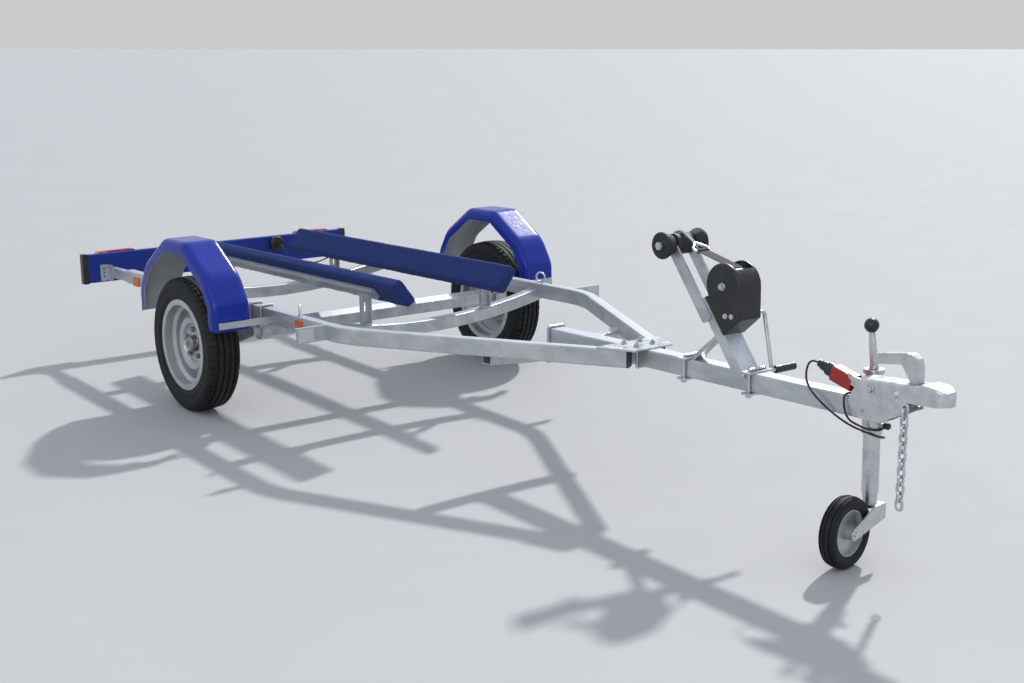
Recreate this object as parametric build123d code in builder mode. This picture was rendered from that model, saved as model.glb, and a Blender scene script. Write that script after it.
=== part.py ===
from build123d import *
from math import acos, asin, atan2, cos, degrees, hypot, radians, sin, tan
import os

os.makedirs("parts", exist_ok=True)

# Boat trailer, parked on its jockey wheel. Millimetres, +X forwards to the coupling, +Y to its left,
# +Z up. The pieces are drawn with the frame level, x = 0 over the wheel axle and the tyres on z = 0,
# and are then leaned back about the axle by the few degrees that the jockey wheel lifts the nose, and
# moved so that the origin lies under the middle of the length.
NOSE_UP = 1.4
MIDDLE_X = 862

# Road wheels; their distance from the middle follows from the rails
WHEEL_R = 270
TYRE_W = 135
TYRE_OUT = 87.5
RIM_R = 165
FLANGE_R = 182
RIM_W = 122
DISC_SET_IN = 22
HUB_R = 56
STUD_PCD = 114

# Side rails, bent inwards to the drawbar
RAIL_W = 40
RAIL_H = 60
RAIL_WALL = 3
RAIL_TOP = 433
RAIL_Y = 573
REAR_X = -1014
BEND_X = 857
BEND_R = 380
NOSE_X = 1818
NOSE_Y = 70
TUBE_CORNER = 5
TRACK_Y = RAIL_Y + RAIL_W / 2 + TYRE_OUT + TYRE_W / 2

# Drawbar and its clamps
BAR = 60
BAR_WALL = 4
BAR_REAR_X = 1345
BAR_FRONT_X = 2818
BAR_SLOPE = 78
ROD_R = 5
ROD_GAP = 1
PLATE_T = 6

# Bowed cross members: x of the rear, middle and nose ones, and the height of their lowest top
BOW = 50
BOW_WALL = 3
BOW_SAG_R = 2430
BOW_REAR_X = -655
BOW_MID_X = 535
BOW_NOSE_X = 1358
BOW_LOW_Z = 346

# Torsion axle
AXLE = 50
AXLE_X = 232
AXLE_Z = 340
AXLE_TURN = 18
ARM_T = 24

# Mudguards, a little further out than the tyres
GUARD_OFF = 2
GUARD_W = 160
GUARD_Y0 = TRACK_Y + GUARD_OFF - GUARD_W / 2
GUARD_HALF = 337
GUARD_FOOT_Z = 368
GUARD_TOP_Z = 690
GUARD_TOP_HALF = 92
GUARD_WAIST_Z = 440
GUARD_SHOULDER = (277, 530)
GUARD_LIP = 50
GUARD_T = 4
STRAP_H = 25
STRAP_T = 6

# Bunks, planks that lean inwards
BUNK_W = 114
BUNK_T = 46
BUNK_LEAN = 52
BUNK_Y = 244
BUNK_Z = 506
BUNK_FRONT_X = 757
BUNK_REAR_X = -915
CHANNEL_W = 42
CHANNEL_H = 16
LEG_W = 44
LEG_T = 20

# Light board
BOARD_X = -1248
BOARD_T = 26
BOARD_HALF = 709
BOARD_Z0 = 354
BOARD_Z1 = 488
CAP_L = 28

# Winch post, its arms and the bow rollers
POST_X = 2299
POST_LEAN = 36.5
POST_W = 74
POST_D = 38
POST_TOP_Z = 649
POST_WALL = 4
ARM_W = 42
ARM_BAR_T = 6
ROLLER_X = 1987
ROLLER_Z = 796
SHAFT_R = 8

# Winch
WINCH_W = 100
WINCH_X = 2222
WINCH_Z = 690
WINCH_R = 72
WINCH_LOW_Z = 592
WINCH_WALL = 4
COVER_ROUND = 8
CRANK_X = 2266
CRANK_Z = 603
CRANK_L = 186
CRANK_TURN = 11
CRANK_Y = 92

# Coupling
COUPLER_W = 76
COUPLER_T = 4
BALL_X = 2998
BALL_BORE_R = 25.2
SIDE_PLATE_T = 4

# Jockey wheel
JOCKEY_X = 2718
JOCKEY_Y = 64
JOCKEY_R = 25
JOCKEY_TOP_Z = 488
JOCKEY_FOOT_Z = 131
JOCKEY_WALL = 3
TRAIL = 128
TURN = 7
SMALL_R = 107
SMALL_W = 50
SMALL_CROWN = 60
SMALL_RIM_R = 68

# Gaps: between pieces that turn or slide on each other, and round bolts
RUN = 0.3
AIR = 1

PARKED = Pos(-MIDDLE_X, 0, WHEEL_R) * Rot(0, -NOSE_UP, 0) * Pos(0, 0, -WHEEL_R)
SIDES = ((-1, "right"), (1, "left"))
BAR_Z = RAIL_TOP - BAR / 2
BAR_LOW_Z = RAIL_TOP - BAR
ROD_Y = BAR / 2 + ROD_GAP + ROD_R


def keep(part, label, placed=PARKED):
    """Sets a finished piece on the parked trailer, names it and writes its file."""
    piece = part.moved(placed)
    piece.label = label
    export_step(piece, f"parts/{label}.step")


def rail_axis(side):
    """The centre line of one rail, seen from above."""
    with BuildLine(Plane.XY.offset(RAIL_TOP - RAIL_H / 2)) as line:
        FilletPolyline((REAR_X, side * RAIL_Y), (BEND_X, side * RAIL_Y), (NOSE_X, side * NOSE_Y),
                       radius=BEND_R)
    return line.line


def nose_plane(side):
    """The face of a rail's front end, looking forwards along the rail."""
    axis = rail_axis(side)
    return Plane(origin=axis @ 1, x_dir=(0, 0, 1), z_dir=axis % 1)


# Side rails: rectangular tube, straight to the bend and then in towards the drawbar.
rail_solids = {}
for side, tag in SIDES:
    with BuildPart() as rail:
        axis = rail_axis(side)
        with BuildSketch(Plane(origin=axis @ 0, x_dir=(0, 1, 0), z_dir=(1, 0, 0))):
            RectangleRounded(RAIL_W, RAIL_H, TUBE_CORNER)
            Rectangle(RAIL_W - 2 * RAIL_WALL, RAIL_H - 2 * RAIL_WALL, mode=Mode.SUBTRACT)
        sweep(path=axis)
    keep(rail.part, f"rail_{tag}")
    with BuildPart() as envelope:
        with BuildSketch(Plane(origin=axis @ 0, x_dir=(0, 1, 0), z_dir=(1, 0, 0))):
            Rectangle(RAIL_W, RAIL_H)
        sweep(path=axis)
    rail_solids[side] = envelope.part

# Black plugs in the rails' front ends.
PLUG_T = 5
PLUG_IN = 18
with BuildPart() as rail_plugs:
    for side, tag in SIDES:
        with BuildSketch(nose_plane(side)):
            RectangleRounded(RAIL_H, RAIL_W, TUBE_CORNER)
        extrude(amount=PLUG_T)
        with BuildSketch(nose_plane(side)):
            Rectangle(RAIL_H - 2 * RAIL_WALL - AIR, RAIL_W - 2 * RAIL_WALL - AIR)
        extrude(amount=-PLUG_IN)


# Bowed cross members: square tube bent down in the middle to clear a keel, its ends on the rails.
BOWS = [(BOW_REAR_X, BOW_LOW_Z, RAIL_Y), (BOW_MID_X, BOW_LOW_Z, RAIL_Y)]
slope_y = (RAIL_Y - NOSE_Y) / (NOSE_X - BEND_X)
nose_bow_y = RAIL_Y - (BOW_NOSE_X - BEND_X) * slope_y
BOWS.append((BOW_NOSE_X, BAR_LOW_Z, nose_bow_y))
bows = []
for x, low_z, half in BOWS:
    rise = half ** 2 / (2 * BOW_SAG_R)
    with BuildPart() as bow:
        with BuildLine(Plane.YZ.offset(x)) as arch:
            ThreePointArc((-half, low_z - BOW / 2 + rise), (0, low_z - BOW / 2),
                          (half, low_z - BOW / 2 + rise))
        with BuildSketch(Plane(origin=arch.line @ 0, x_dir=(1, 0, 0), z_dir=arch.line % 0)):
            RectangleRounded(BOW, BOW, TUBE_CORNER)
            Rectangle(BOW - 2 * BOW_WALL, BOW - 2 * BOW_WALL, mode=Mode.SUBTRACT)
        sweep(path=arch.line)
        for envelope in rail_solids.values():
            add(envelope, mode=Mode.SUBTRACT)
    bows.append(bow.part)
with BuildPart() as cross_bows:
    add(bows)
    with BuildSketch(Plane.XY.offset(BAR_LOW_Z)):
        with Locations((BOW_NOSE_X, 0)):
            Rectangle(2 * BOW, BAR)
    extrude(amount=BOW / 4, mode=Mode.SUBTRACT)
    with Locations((BOW_NOSE_X, ROD_Y, BAR_LOW_Z), (BOW_NOSE_X, -ROD_Y, BAR_LOW_Z)):
        Hole(ROD_R + RUN, depth=2 * BOW)
keep(cross_bows.part, "cross_bows")

# Drawbar: square tube along the middle, its front end cut on a slant under the coupling.
with BuildPart() as drawbar:
    with BuildSketch(Plane.YZ.offset(BAR_REAR_X)):
        with Locations((0, BAR_Z)):
            RectangleRounded(BAR, BAR, TUBE_CORNER)
            Rectangle(BAR - 2 * BAR_WALL, BAR - 2 * BAR_WALL, mode=Mode.SUBTRACT)
    extrude(amount=BAR_FRONT_X + BAR_SLOPE - BAR_REAR_X)
    with BuildSketch(Plane.XZ.offset(-BAR)):
        past_x = BAR_FRONT_X + 3 * BAR
        Polygon((BAR_FRONT_X, BAR_LOW_Z), (BAR_FRONT_X + BAR_SLOPE, RAIL_TOP), (past_x, RAIL_TOP),
                (past_x, BAR_LOW_Z - BAR), (BAR_FRONT_X, BAR_LOW_Z - BAR), align=None)
    extrude(amount=2 * BAR, mode=Mode.SUBTRACT)
keep(drawbar.part, "drawbar")


def u_bolt(x, top_z, bottom_z, bend_up, across=ROD_Y, middle_y=0):
    """A U-bolt: two legs, one each side of a tube, and the bend that joins them."""
    bend_z, free_z = (top_z, bottom_z) if bend_up else (bottom_z, top_z)
    y0, y1 = middle_y - across, middle_y + across
    bend_r = ROD_R + ROD_GAP
    with BuildPart() as bolt:
        with BuildLine(Plane.YZ.offset(x)) as line:
            FilletPolyline((y0, free_z), (y0, bend_z), (y1, bend_z), (y1, free_z), radius=bend_r)
        with BuildSketch(Plane(origin=line.line @ 0, z_dir=line.line % 0)):
            RegularPolygon(ROD_R, 8)
        sweep(path=line.line)
    return bolt.part


# Plates on the drawbar: one over the meeting of the rails, and a pair at each clamp of the winch post.
NOSE_BOLTS = (1761, 1822)
NOSE_PLATE = ((1735, 138), (1868, 84))
CLAMP_X = (2045, 2326)
CLAMP_L = 104
CLAMP_W = 36
NUT_H = 9
NUT_R = 10
THREAD = 6
with BuildPart() as drawbar_plates:
    with BuildSketch(Plane.XY.offset(RAIL_TOP)):
        (x0, y0), (x1, y1) = NOSE_PLATE
        Polygon((x0, -y0), (x1, -y1), (x1, y1), (x0, y0), align=None)
    extrude(amount=PLATE_T)
    for z in (RAIL_TOP, BAR_LOW_Z - PLATE_T):
        with BuildSketch(Plane.XY.offset(z)):
            with Locations(*[(x, 0) for x in CLAMP_X]):
                RectangleRounded(CLAMP_W, CLAMP_L, 4)
        extrude(amount=PLATE_T)
    with BuildSketch(Plane.XY.offset(BAR_LOW_Z - BAR)):
        with Locations(*[(x, s * ROD_Y) for x in NOSE_BOLTS + CLAMP_X for s in (-1, 1)]):
            Circle(ROD_R + RUN)
    extrude(amount=3 * BAR, mode=Mode.SUBTRACT)
keep(drawbar_plates.part, "drawbar_plates")

# U-bolts round the drawbar, with nuts: bend down at the nose plate, bend up at the tail and the clamps.
bow_low = BAR_LOW_Z - BOW
bolts = [u_bolt(x, RAIL_TOP + PLATE_T + NUT_H + THREAD, BAR_LOW_Z - ROD_R, False) for x in NOSE_BOLTS]
bolts += [u_bolt(x, RAIL_TOP + PLATE_T + ROD_R, BAR_LOW_Z - PLATE_T - NUT_H, True) for x in CLAMP_X]
bolts.append(u_bolt(BOW_NOSE_X, RAIL_TOP + ROD_R, bow_low - NUT_H - THREAD, True))
NUTS = [(x, RAIL_TOP + PLATE_T, NUT_H) for x in NOSE_BOLTS]
NUTS += [(x, BAR_LOW_Z - PLATE_T, -NUT_H) for x in CLAMP_X] + [(BOW_NOSE_X, bow_low, -NUT_H)]
with BuildPart() as drawbar_bolts:
    add(bolts)
    for x, z, height in NUTS:
        with BuildSketch(Plane.XY.offset(z)):
            with Locations((x, ROD_Y), (x, -ROD_Y)):
                RegularPolygon(NUT_R, 6)
        extrude(amount=height)
keep(drawbar_bolts.part, "drawbar_bolts")

# Torsion axle: square tube turned on its seats, with a trailing arm and a stub axle at each end.
AXLE_HALF = RAIL_Y + RAIL_W / 2 + 6
SEAT_L = 120
SEAT_T = 6
STUB_R = 19
STUB_IN = 52
AXLE_WALL = 5
beam_turn = radians(AXLE_TURN)
beam_plane = Plane(origin=(AXLE_X, -AXLE_HALF, AXLE_Z), x_dir=(cos(beam_turn), 0, -sin(beam_turn)),
                   z_dir=(0, 1, 0))
with BuildPart() as axle_envelope:
    with BuildSketch(beam_plane):
        RectangleRounded(AXLE, AXLE, TUBE_CORNER)
    extrude(amount=2 * AXLE_HALF)
with BuildPart() as axle:
    add(axle_envelope.part)
    with BuildSketch(beam_plane):
        Rectangle(AXLE - 2 * AXLE_WALL, AXLE - 2 * AXLE_WALL)
    extrude(amount=2 * AXLE_HALF, mode=Mode.SUBTRACT)
    for side, tag in SIDES:
        inner = Plane(origin=(0, side * AXLE_HALF, 0), x_dir=(1, 0, 0), z_dir=(0, side, 0))
        flip = -side
        with BuildSketch(inner):
            with BuildLine():
                big, small = AXLE / 2 + 1, STUB_R + 14
                a, b = Vector(AXLE_X, flip * AXLE_Z), Vector(0, flip * WHEEL_R)
                n = (b - a).normalized().rotate(Axis.Z, 90)
                far, near = (b - a).normalized() * small, (a - b).normalized() * big
                ThreePointArc(a + n * big, a + near, a - n * big)
                Line(a - n * big, b - n * small)
                ThreePointArc(b - n * small, b + far, b + n * small)
                Line(b + n * small, a + n * big)
            make_face()
        extrude(amount=ARM_T)
        with BuildSketch(inner.offset(ARM_T)):
            with Locations((0, flip * WHEEL_R)):
                Circle(STUB_R)
        extrude(amount=STUB_IN)
keep(axle.part, "axle")

# Seats that carry the rails on the axle, with U-bolts over each rail.
SEAT_BOLTS = (AXLE_X - 44, AXLE_X + 44)
rail_across = RAIL_W / 2 + ROD_GAP + ROD_R
rail_low = RAIL_TOP - RAIL_H
seat_bolts = [u_bolt(x, RAIL_TOP + ROD_R, rail_low - SEAT_T - NUT_H, True, rail_across, side * RAIL_Y)
              for x in SEAT_BOLTS for side, tag in SIDES]
with BuildPart() as axle_seats:
    with BuildSketch(Plane.XY.offset(rail_low - SEAT_T)):
        with Locations(*[(AXLE_X, side * RAIL_Y) for side, tag in SIDES]):
            RectangleRounded(SEAT_L, 2 * (rail_across + ROD_R + 2), 4)
    extrude(amount=SEAT_T)
    for side, tag in SIDES:
        with BuildSketch(Plane.XZ.offset(-side * RAIL_Y - RAIL_W / 2 + 2)):
            with Locations((AXLE_X, AXLE_Z)):
                Circle(AXLE / 2 + 16)
            with Locations((AXLE_X, rail_low - SEAT_T)):
                Rectangle(AXLE + 24, AXLE / 2, align=(Align.CENTER, Align.MAX))
                Rectangle(2 * SEAT_L, AXLE, align=(Align.CENTER, Align.MIN), mode=Mode.SUBTRACT)
        extrude(amount=RAIL_W - 4)
    add(axle_envelope.part, mode=Mode.SUBTRACT)
    add(seat_bolts)
    with BuildSketch(Plane.XY.offset(rail_low - SEAT_T)):
        with Locations(*[(x, side * RAIL_Y + s * rail_across) for x in SEAT_BOLTS
                         for side, tag in SIDES for s in (-1, 1)]):
            RegularPolygon(NUT_R, 6)
    extrude(amount=-NUT_H)
keep(axle_seats.part, "axle_seats")

# Road wheels: tyre, pressed steel rim and the hub that turns with them.
RIM_T = 4
for side, tag in SIDES:
    axis = Axis((0, side * TRACK_Y, WHEEL_R), (0, 1, 0))
    half = TYRE_W / 2
    crown, shoulder, belly = WHEEL_R, WHEEL_R - 6, WHEEL_R - 48
    with BuildPart() as tyre:
        with BuildSketch(Plane(origin=(0, side * TRACK_Y, WHEEL_R), x_dir=(0, 1, 0), z_dir=(1, 0, 0))):
            with BuildLine():
                tread = half - 15
                bead = RIM_W / 2 - RIM_T
                Polyline((-bead, RIM_R), (bead, RIM_R), (bead, FLANGE_R + AIR), (half - 6, FLANGE_R + 7))
                ThreePointArc((half - 6, FLANGE_R + 7), (half, belly), (half - 4, shoulder - 12))
                Polyline((half - 4, shoulder - 12), (tread, shoulder + 2))
                ThreePointArc((tread, shoulder + 2), (0, crown), (-tread, shoulder + 2))
                Polyline((-tread, shoulder + 2), (4 - half, shoulder - 12))
                ThreePointArc((4 - half, shoulder - 12), (-half, belly), (6 - half, FLANGE_R + 7))
                Polyline((6 - half, FLANGE_R + 7), (-bead, FLANGE_R + AIR), (-bead, RIM_R))
            make_face()
        revolve(axis=axis)
    keep(tyre.part, f"tyre_{tag}")
    out = side
    t = RIM_T
    with BuildPart() as rim:
        with BuildSketch(Plane(origin=(0, side * TRACK_Y, WHEEL_R), x_dir=(0, out, 0), z_dir=(out, 0, 0))):
            e = RIM_W / 2
            with BuildLine():
                Polyline((-e, FLANGE_R), (-e + t, FLANGE_R), (-e + t, RIM_R - 1), (-e + 32, RIM_R - 4),
                         (-e + 42, RIM_R - 20), (e - 42, RIM_R - 20), (e - 32, RIM_R - 4), (e - t, RIM_R - 1),
                         (e - t, FLANGE_R), (e, FLANGE_R), (e, RIM_R - 5), (e - 32, RIM_R - 5 - t),
                         (e - 42, RIM_R - 20 - t), (-e + 42, RIM_R - 20 - t), (-e + 32, RIM_R - 5 - t),
                         (-e, RIM_R - 5), close=True)
            make_face()
            d = DISC_SET_IN
            with BuildLine():
                Polyline((d - 30, RIM_R - 21), (d - 18, RIM_R - 40), (d, RIM_R - 62), (d - 4, HUB_R + 26),
                         (d - 16, HUB_R + 16), (d - 16, HUB_R - 22), (d - 21, HUB_R - 22), (d - 21, HUB_R + 18),
                         (d - 9, HUB_R + 30), (d - 5, RIM_R - 64), (d - 23, RIM_R - 42), (d - 35, RIM_R - 21), close=True)
            make_face()
        revolve(axis=axis)
    keep(rim.part, f"rim_{tag}")
    with BuildPart() as hub:
        back = STUB_IN + AXLE_HALF + ARM_T - TRACK_Y
        with BuildSketch(Plane(origin=(0, side * TRACK_Y, WHEEL_R), x_dir=(0, out, 0), z_dir=(out, 0, 0))):
            face = d - 21 - AIR / 2
            with BuildLine():
                Polyline((back - 46, STUB_R + RUN), (back - 46, HUB_R - 14), (face - 10, HUB_R - 14),
                         (face - 10, HUB_R + 18), (face, HUB_R + 18), (face, HUB_R - 24), (d + 6, HUB_R - 25),
                         (d + 12, HUB_R - 32), (d + 12, 0), (back + AIR, 0), (back + AIR, STUB_R + RUN), close=True)
            make_face()
        revolve(axis=axis)
        with BuildSketch(Plane(origin=(0, side * (TRACK_Y + d - 16), WHEEL_R), x_dir=(1, 0, 0), z_dir=(0, out, 0))):
            with PolarLocations(STUD_PCD / 2, 5, 90):
                RegularPolygon(NUT_R + 1, 6)
        extrude(amount=15)
    keep(hub.part, f"hub_{tag}")

# Mudguards: moulded arches with soft bends and edges, and a lip down each side. The radii are those of
# the bends at the waist, the shoulder and the top, on the outside and round the lip's opening.
GUARD_BENDS = (34, 170, 84)
LIP_BENDS = (90, 130, 110)
GUARD_EDGE_R = 22


def guard_outline(inset, bends, below):
    """The arch seen from the side, drawn in by an inset, and carried on below its foot to cut through."""
    half = ((GUARD_HALF, GUARD_FOOT_Z - below), (GUARD_HALF, GUARD_WAIST_Z), GUARD_SHOULDER,
            (GUARD_TOP_HALF, GUARD_TOP_Z))
    with BuildSketch() as outline:
        Polygon(*half, *[(-x, z) for x, z in reversed(half)], align=None)
        if inset:
            offset(amount=-inset, kind=Kind.INTERSECTION)
        levels = outline.vertices().group_by(Axis.Y)[1:]
        heights = [level[0].Y for level in levels]
        for height, radius in zip(heights, bends):
            fillet(outline.vertices().filter_by(lambda v: abs(v.Y - height) < GUARD_T / 2), radius=radius)
    return outline.sketch_local


for side, tag in SIDES:
    high_y = max(side * GUARD_Y0, side * (GUARD_Y0 + GUARD_W))
    inner_bends = [radius - GUARD_T for radius in GUARD_BENDS]
    with BuildPart() as guard_inside:
        with BuildSketch(Plane.XZ.offset(GUARD_T - high_y)):
            add(guard_outline(GUARD_T, inner_bends, 2 * GUARD_T))
        extrude(amount=GUARD_W - 2 * GUARD_T)
        rims = guard_inside.faces().filter_by(Axis.Y).edges().filter_by(lambda e: e.center().Z > GUARD_FOOT_Z)
        fillet(rims, radius=GUARD_EDGE_R - GUARD_T)
    with BuildPart() as guard:
        with BuildSketch(Plane.XZ.offset(-high_y)):
            add(guard_outline(0, GUARD_BENDS, 0))
        extrude(amount=GUARD_W)
        rims = guard.faces().filter_by(Axis.Y).edges().filter_by(lambda e: e.center().Z > GUARD_FOOT_Z + 1)
        fillet(rims, radius=GUARD_EDGE_R)
        add(guard_inside.part, mode=Mode.SUBTRACT)
        with BuildSketch(Plane.XZ.offset(-high_y - GUARD_T)):
            add(guard_outline(GUARD_LIP, LIP_BENDS, 2 * GUARD_LIP))
        extrude(amount=GUARD_W + 2 * GUARD_T, mode=Mode.SUBTRACT)
    keep(guard.part, f"mudguard_{tag}")

# Flat bars that carry the mudguards' ends, and folded plates at the rails' bends for the reflectors.
TAB_X = 766
TAB_END_Y = 720
TAB_Z0 = RAIL_TOP - 56
TAB_FLANGE = 15
TAB_T = 4
STRAP_Z = GUARD_FOOT_Z + 24
STRAP_END_Y = GUARD_Y0 + GUARD_W - 18
rail_out_y = RAIL_Y + RAIL_W / 2
with BuildPart() as side_brackets:
    with BuildSketch(Plane.XY.offset(STRAP_Z - STRAP_H / 2)):
        with Locations(*[(x * (GUARD_HALF + STRAP_T / 2), side * (rail_out_y + STRAP_END_Y) / 2)
                         for x in (-1, 1) for side, tag in SIDES]):
            Rectangle(STRAP_T, STRAP_END_Y - rail_out_y)
    extrude(amount=STRAP_H)
    for side, tag in SIDES:
        with BuildSketch(Plane.XZ.offset(-max(side * rail_out_y, side * TAB_END_Y))):
            with BuildLine():
                Polyline((TAB_X, TAB_Z0), (TAB_X, RAIL_TOP), (TAB_X - TAB_FLANGE, RAIL_TOP),
                         (TAB_X - TAB_FLANGE, RAIL_TOP - TAB_T), (TAB_X - TAB_T, RAIL_TOP - TAB_T),
                         (TAB_X - TAB_T, TAB_Z0), close=True)
            make_face()
        extrude(amount=TAB_END_Y - rail_out_y)
keep(side_brackets.part, "side_brackets")



def leaning(side, away, along=0):
    """A plane across a bunk, its x direction up the plank's width, set off from the plank's middle."""
    lean = radians(BUNK_LEAN)
    up = Vector(0, side * cos(lean), sin(lean))
    face = Vector(0, side * sin(lean), -cos(lean))
    middle = Vector(along, side * BUNK_Y, BUNK_Z) + face * away
    return Plane(origin=middle, x_dir=up, z_dir=(1, 0, 0))


# Bunks: long planks that lean inwards, each on a steel channel.
CHANNEL_WALL = 3
CHANNEL_REAR_X = -640
CHANNEL_FRONT_X = 590
BUNK_ROUND = 8
for side, tag in SIDES:
    with BuildPart() as bunk:
        with BuildSketch(leaning(side, 0, BUNK_REAR_X)):
            RectangleRounded(BUNK_W, BUNK_T, BUNK_ROUND)
        extrude(amount=BUNK_FRONT_X - BUNK_REAR_X)
    keep(bunk.part, f"bunk_{tag}")

with BuildPart() as bunk_channels:
    for side, tag in SIDES:
        seat = BUNK_T / 2 + CHANNEL_H / 2
        with BuildSketch(leaning(side, seat, CHANNEL_REAR_X)):
            Rectangle(CHANNEL_W, CHANNEL_H)
        extrude(amount=CHANNEL_FRONT_X - CHANNEL_REAR_X)
    for side, tag in SIDES:
        seat = BUNK_T / 2 + CHANNEL_H / 2
        inward = -side * CHANNEL_WALL
        with BuildSketch(leaning(side, seat, CHANNEL_REAR_X)):
            with Locations((0, inward)):
                Rectangle(CHANNEL_W - 2 * CHANNEL_WALL, CHANNEL_H)
        extrude(amount=CHANNEL_FRONT_X - CHANNEL_REAR_X, mode=Mode.SUBTRACT)


# Upright channels that hold the bunks on the rear and middle cross members.
LEG_Y = 288
LEG_WALL = 4
LEG_TOP_Z = 488
LEG_LOW_Z = 350
LEG_SLOT_W = 9
LEG_SLOT_L = 46
FOOT_T = 5
envelopes = []
for x in (BOW_REAR_X, BOW_MID_X):
    rise = RAIL_Y ** 2 / (2 * BOW_SAG_R)
    with BuildPart() as envelope:
        with BuildLine(Plane.YZ.offset(x)) as arch:
            ThreePointArc((-RAIL_Y, BOW_LOW_Z - BOW / 2 + rise), (0, BOW_LOW_Z - BOW / 2),
                          (RAIL_Y, BOW_LOW_Z - BOW / 2 + rise))
        with BuildSketch(Plane(origin=arch.line @ 0, x_dir=(1, 0, 0), z_dir=arch.line % 0)):
            Rectangle(BOW, BOW)
        sweep(path=arch.line)
    envelopes.append(envelope.part)
with BuildPart() as bunk_legs:
    for x in (BOW_REAR_X, BOW_MID_X):
        front = x + BOW / 2 - 2
        with BuildSketch(Plane.XY.offset(LEG_LOW_Z)):
            with Locations(*[(front, side * LEG_Y) for side, tag in SIDES]):
                Rectangle(LEG_T, LEG_W, align=(Align.MAX, Align.CENTER))
                with Locations((LEG_WALL, 0)):
                    Rectangle(LEG_T, LEG_W - 2 * LEG_WALL, align=(Align.MAX, Align.CENTER), mode=Mode.SUBTRACT)
        extrude(amount=LEG_TOP_Z - LEG_LOW_Z)
        with BuildSketch(Plane.XY.offset(LEG_LOW_Z)):
            with Locations(*[(front, side * LEG_Y) for side, tag in SIDES]):
                Rectangle(LEG_T + LEG_WALL, LEG_W - 2 * LEG_WALL, align=(Align.MAX, Align.CENTER))
        extrude(amount=BOW_LOW_Z + LEG_Y ** 2 / (2 * BOW_SAG_R) + FOOT_T - LEG_LOW_Z)
        with BuildSketch(Plane.YZ.offset(front - LEG_T - 1)):
            with Locations(*[(side * LEG_Y, LEG_LOW_Z + 80) for side, tag in SIDES]):
                SlotOverall(LEG_SLOT_L, LEG_SLOT_W, rotation=90)
        extrude(amount=LEG_WALL + 2, mode=Mode.SUBTRACT)
    for envelope in envelopes:
        add(envelope, mode=Mode.SUBTRACT)
    for side, tag in SIDES:
        seat = BUNK_T / 2 + CHANNEL_H / 2
        with BuildSketch(leaning(side, seat - BUNK_T / 2, CHANNEL_REAR_X - BOW)):
            Rectangle(BUNK_W, CHANNEL_H + BUNK_T)
        extrude(amount=CHANNEL_FRONT_X - CHANNEL_REAR_X + 2 * BOW, mode=Mode.SUBTRACT)
with BuildPart() as bunk_frames:
    add(bunk_channels.part)
    add(bunk_legs.part)
keep(bunk_frames.part, "bunk_frames")

# Light board across the tail, on two arms that slide in the rails.
ARM_TUBE_W = 30
ARM_TUBE_H = 48
ARM_TUBE_WALL = 3
ARM_IN = 120
board_front_x = BOARD_X + BOARD_T / 2
board_rear_x = BOARD_X - BOARD_T / 2
arm_z = RAIL_TOP - RAIL_H + RAIL_WALL + ARM_TUBE_H / 2
with BuildPart() as light_arms:
    with BuildSketch(Plane.YZ.offset(board_front_x)):
        with Locations((RAIL_Y, arm_z), (-RAIL_Y, arm_z)):
            RectangleRounded(ARM_TUBE_W, ARM_TUBE_H, 4)
            Rectangle(ARM_TUBE_W - 2 * ARM_TUBE_WALL, ARM_TUBE_H - 2 * ARM_TUBE_WALL, mode=Mode.SUBTRACT)
    extrude(amount=REAR_X + ARM_IN - board_front_x)


BRACKET_T = 4
BRACKET_W = 38
BRACKET_L = 60
BRACKET_H = 76
BRACKET_UP = 6
BRACKET_HOLE_R = 4.5
BRACKET_PITCH = 18
bracket_z = BOARD_Z0 + BRACKET_UP
bracket_mid_z = bracket_z + BRACKET_H / 2
hole_spots = [(side * (RAIL_Y + (ARM_TUBE_W + BRACKET_W + BRACKET_T) / 2), bracket_mid_z + step * BRACKET_PITCH)
              for side, tag in SIDES for step in (-1, 0, 1)]
with BuildPart() as board_brackets:
    for side, tag in SIDES:
        y = side * (RAIL_Y + ARM_TUBE_W / 2)
        far_y, fold_y, x = y + side * BRACKET_W, y + side * BRACKET_T, board_front_x
        with BuildSketch(Plane.XY.offset(bracket_z)):
            with BuildLine():
                Polyline((x, y), (x + BRACKET_L, y), (x + BRACKET_L, fold_y), (x + BRACKET_T, fold_y),
                         (x + BRACKET_T, far_y), (x, far_y), close=True)
            make_face()
        extrude(amount=BRACKET_H)
    with BuildSketch(Plane.YZ.offset(board_front_x - 1)):
        with Locations(*hole_spots):
            Circle(BRACKET_HOLE_R)
    extrude(amount=BRACKET_T + 2, mode=Mode.SUBTRACT)
with BuildPart() as board_arms:
    add(light_arms.part)
    add(board_brackets.part)
keep(board_arms.part, "board_arms")

with BuildPart() as light_board:
    with BuildSketch(Plane.YZ.offset(board_rear_x)):
        with Locations((0, (BOARD_Z0 + BOARD_Z1) / 2)):
            Rectangle(2 * (BOARD_HALF - CAP_L), BOARD_Z1 - BOARD_Z0)
    extrude(amount=BOARD_T)
    chamfer(light_board.edges().filter_by(Axis.Y), length=3)
keep(light_board.part, "light_board")

with BuildPart() as board_caps:
    for side, tag in SIDES:
        with BuildSketch(Plane.YZ.offset(board_rear_x - 2)):
            with Locations((side * (BOARD_HALF - CAP_L / 2), (BOARD_Z0 + BOARD_Z1) / 2)):
                RectangleRounded(CAP_L, BOARD_Z1 - BOARD_Z0 + 6, 5)
        extrude(amount=BOARD_T + 4)
with BuildPart() as end_caps:
    add(rail_plugs.part)
    add(board_caps.part)
keep(end_caps.part, "end_caps")

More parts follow.
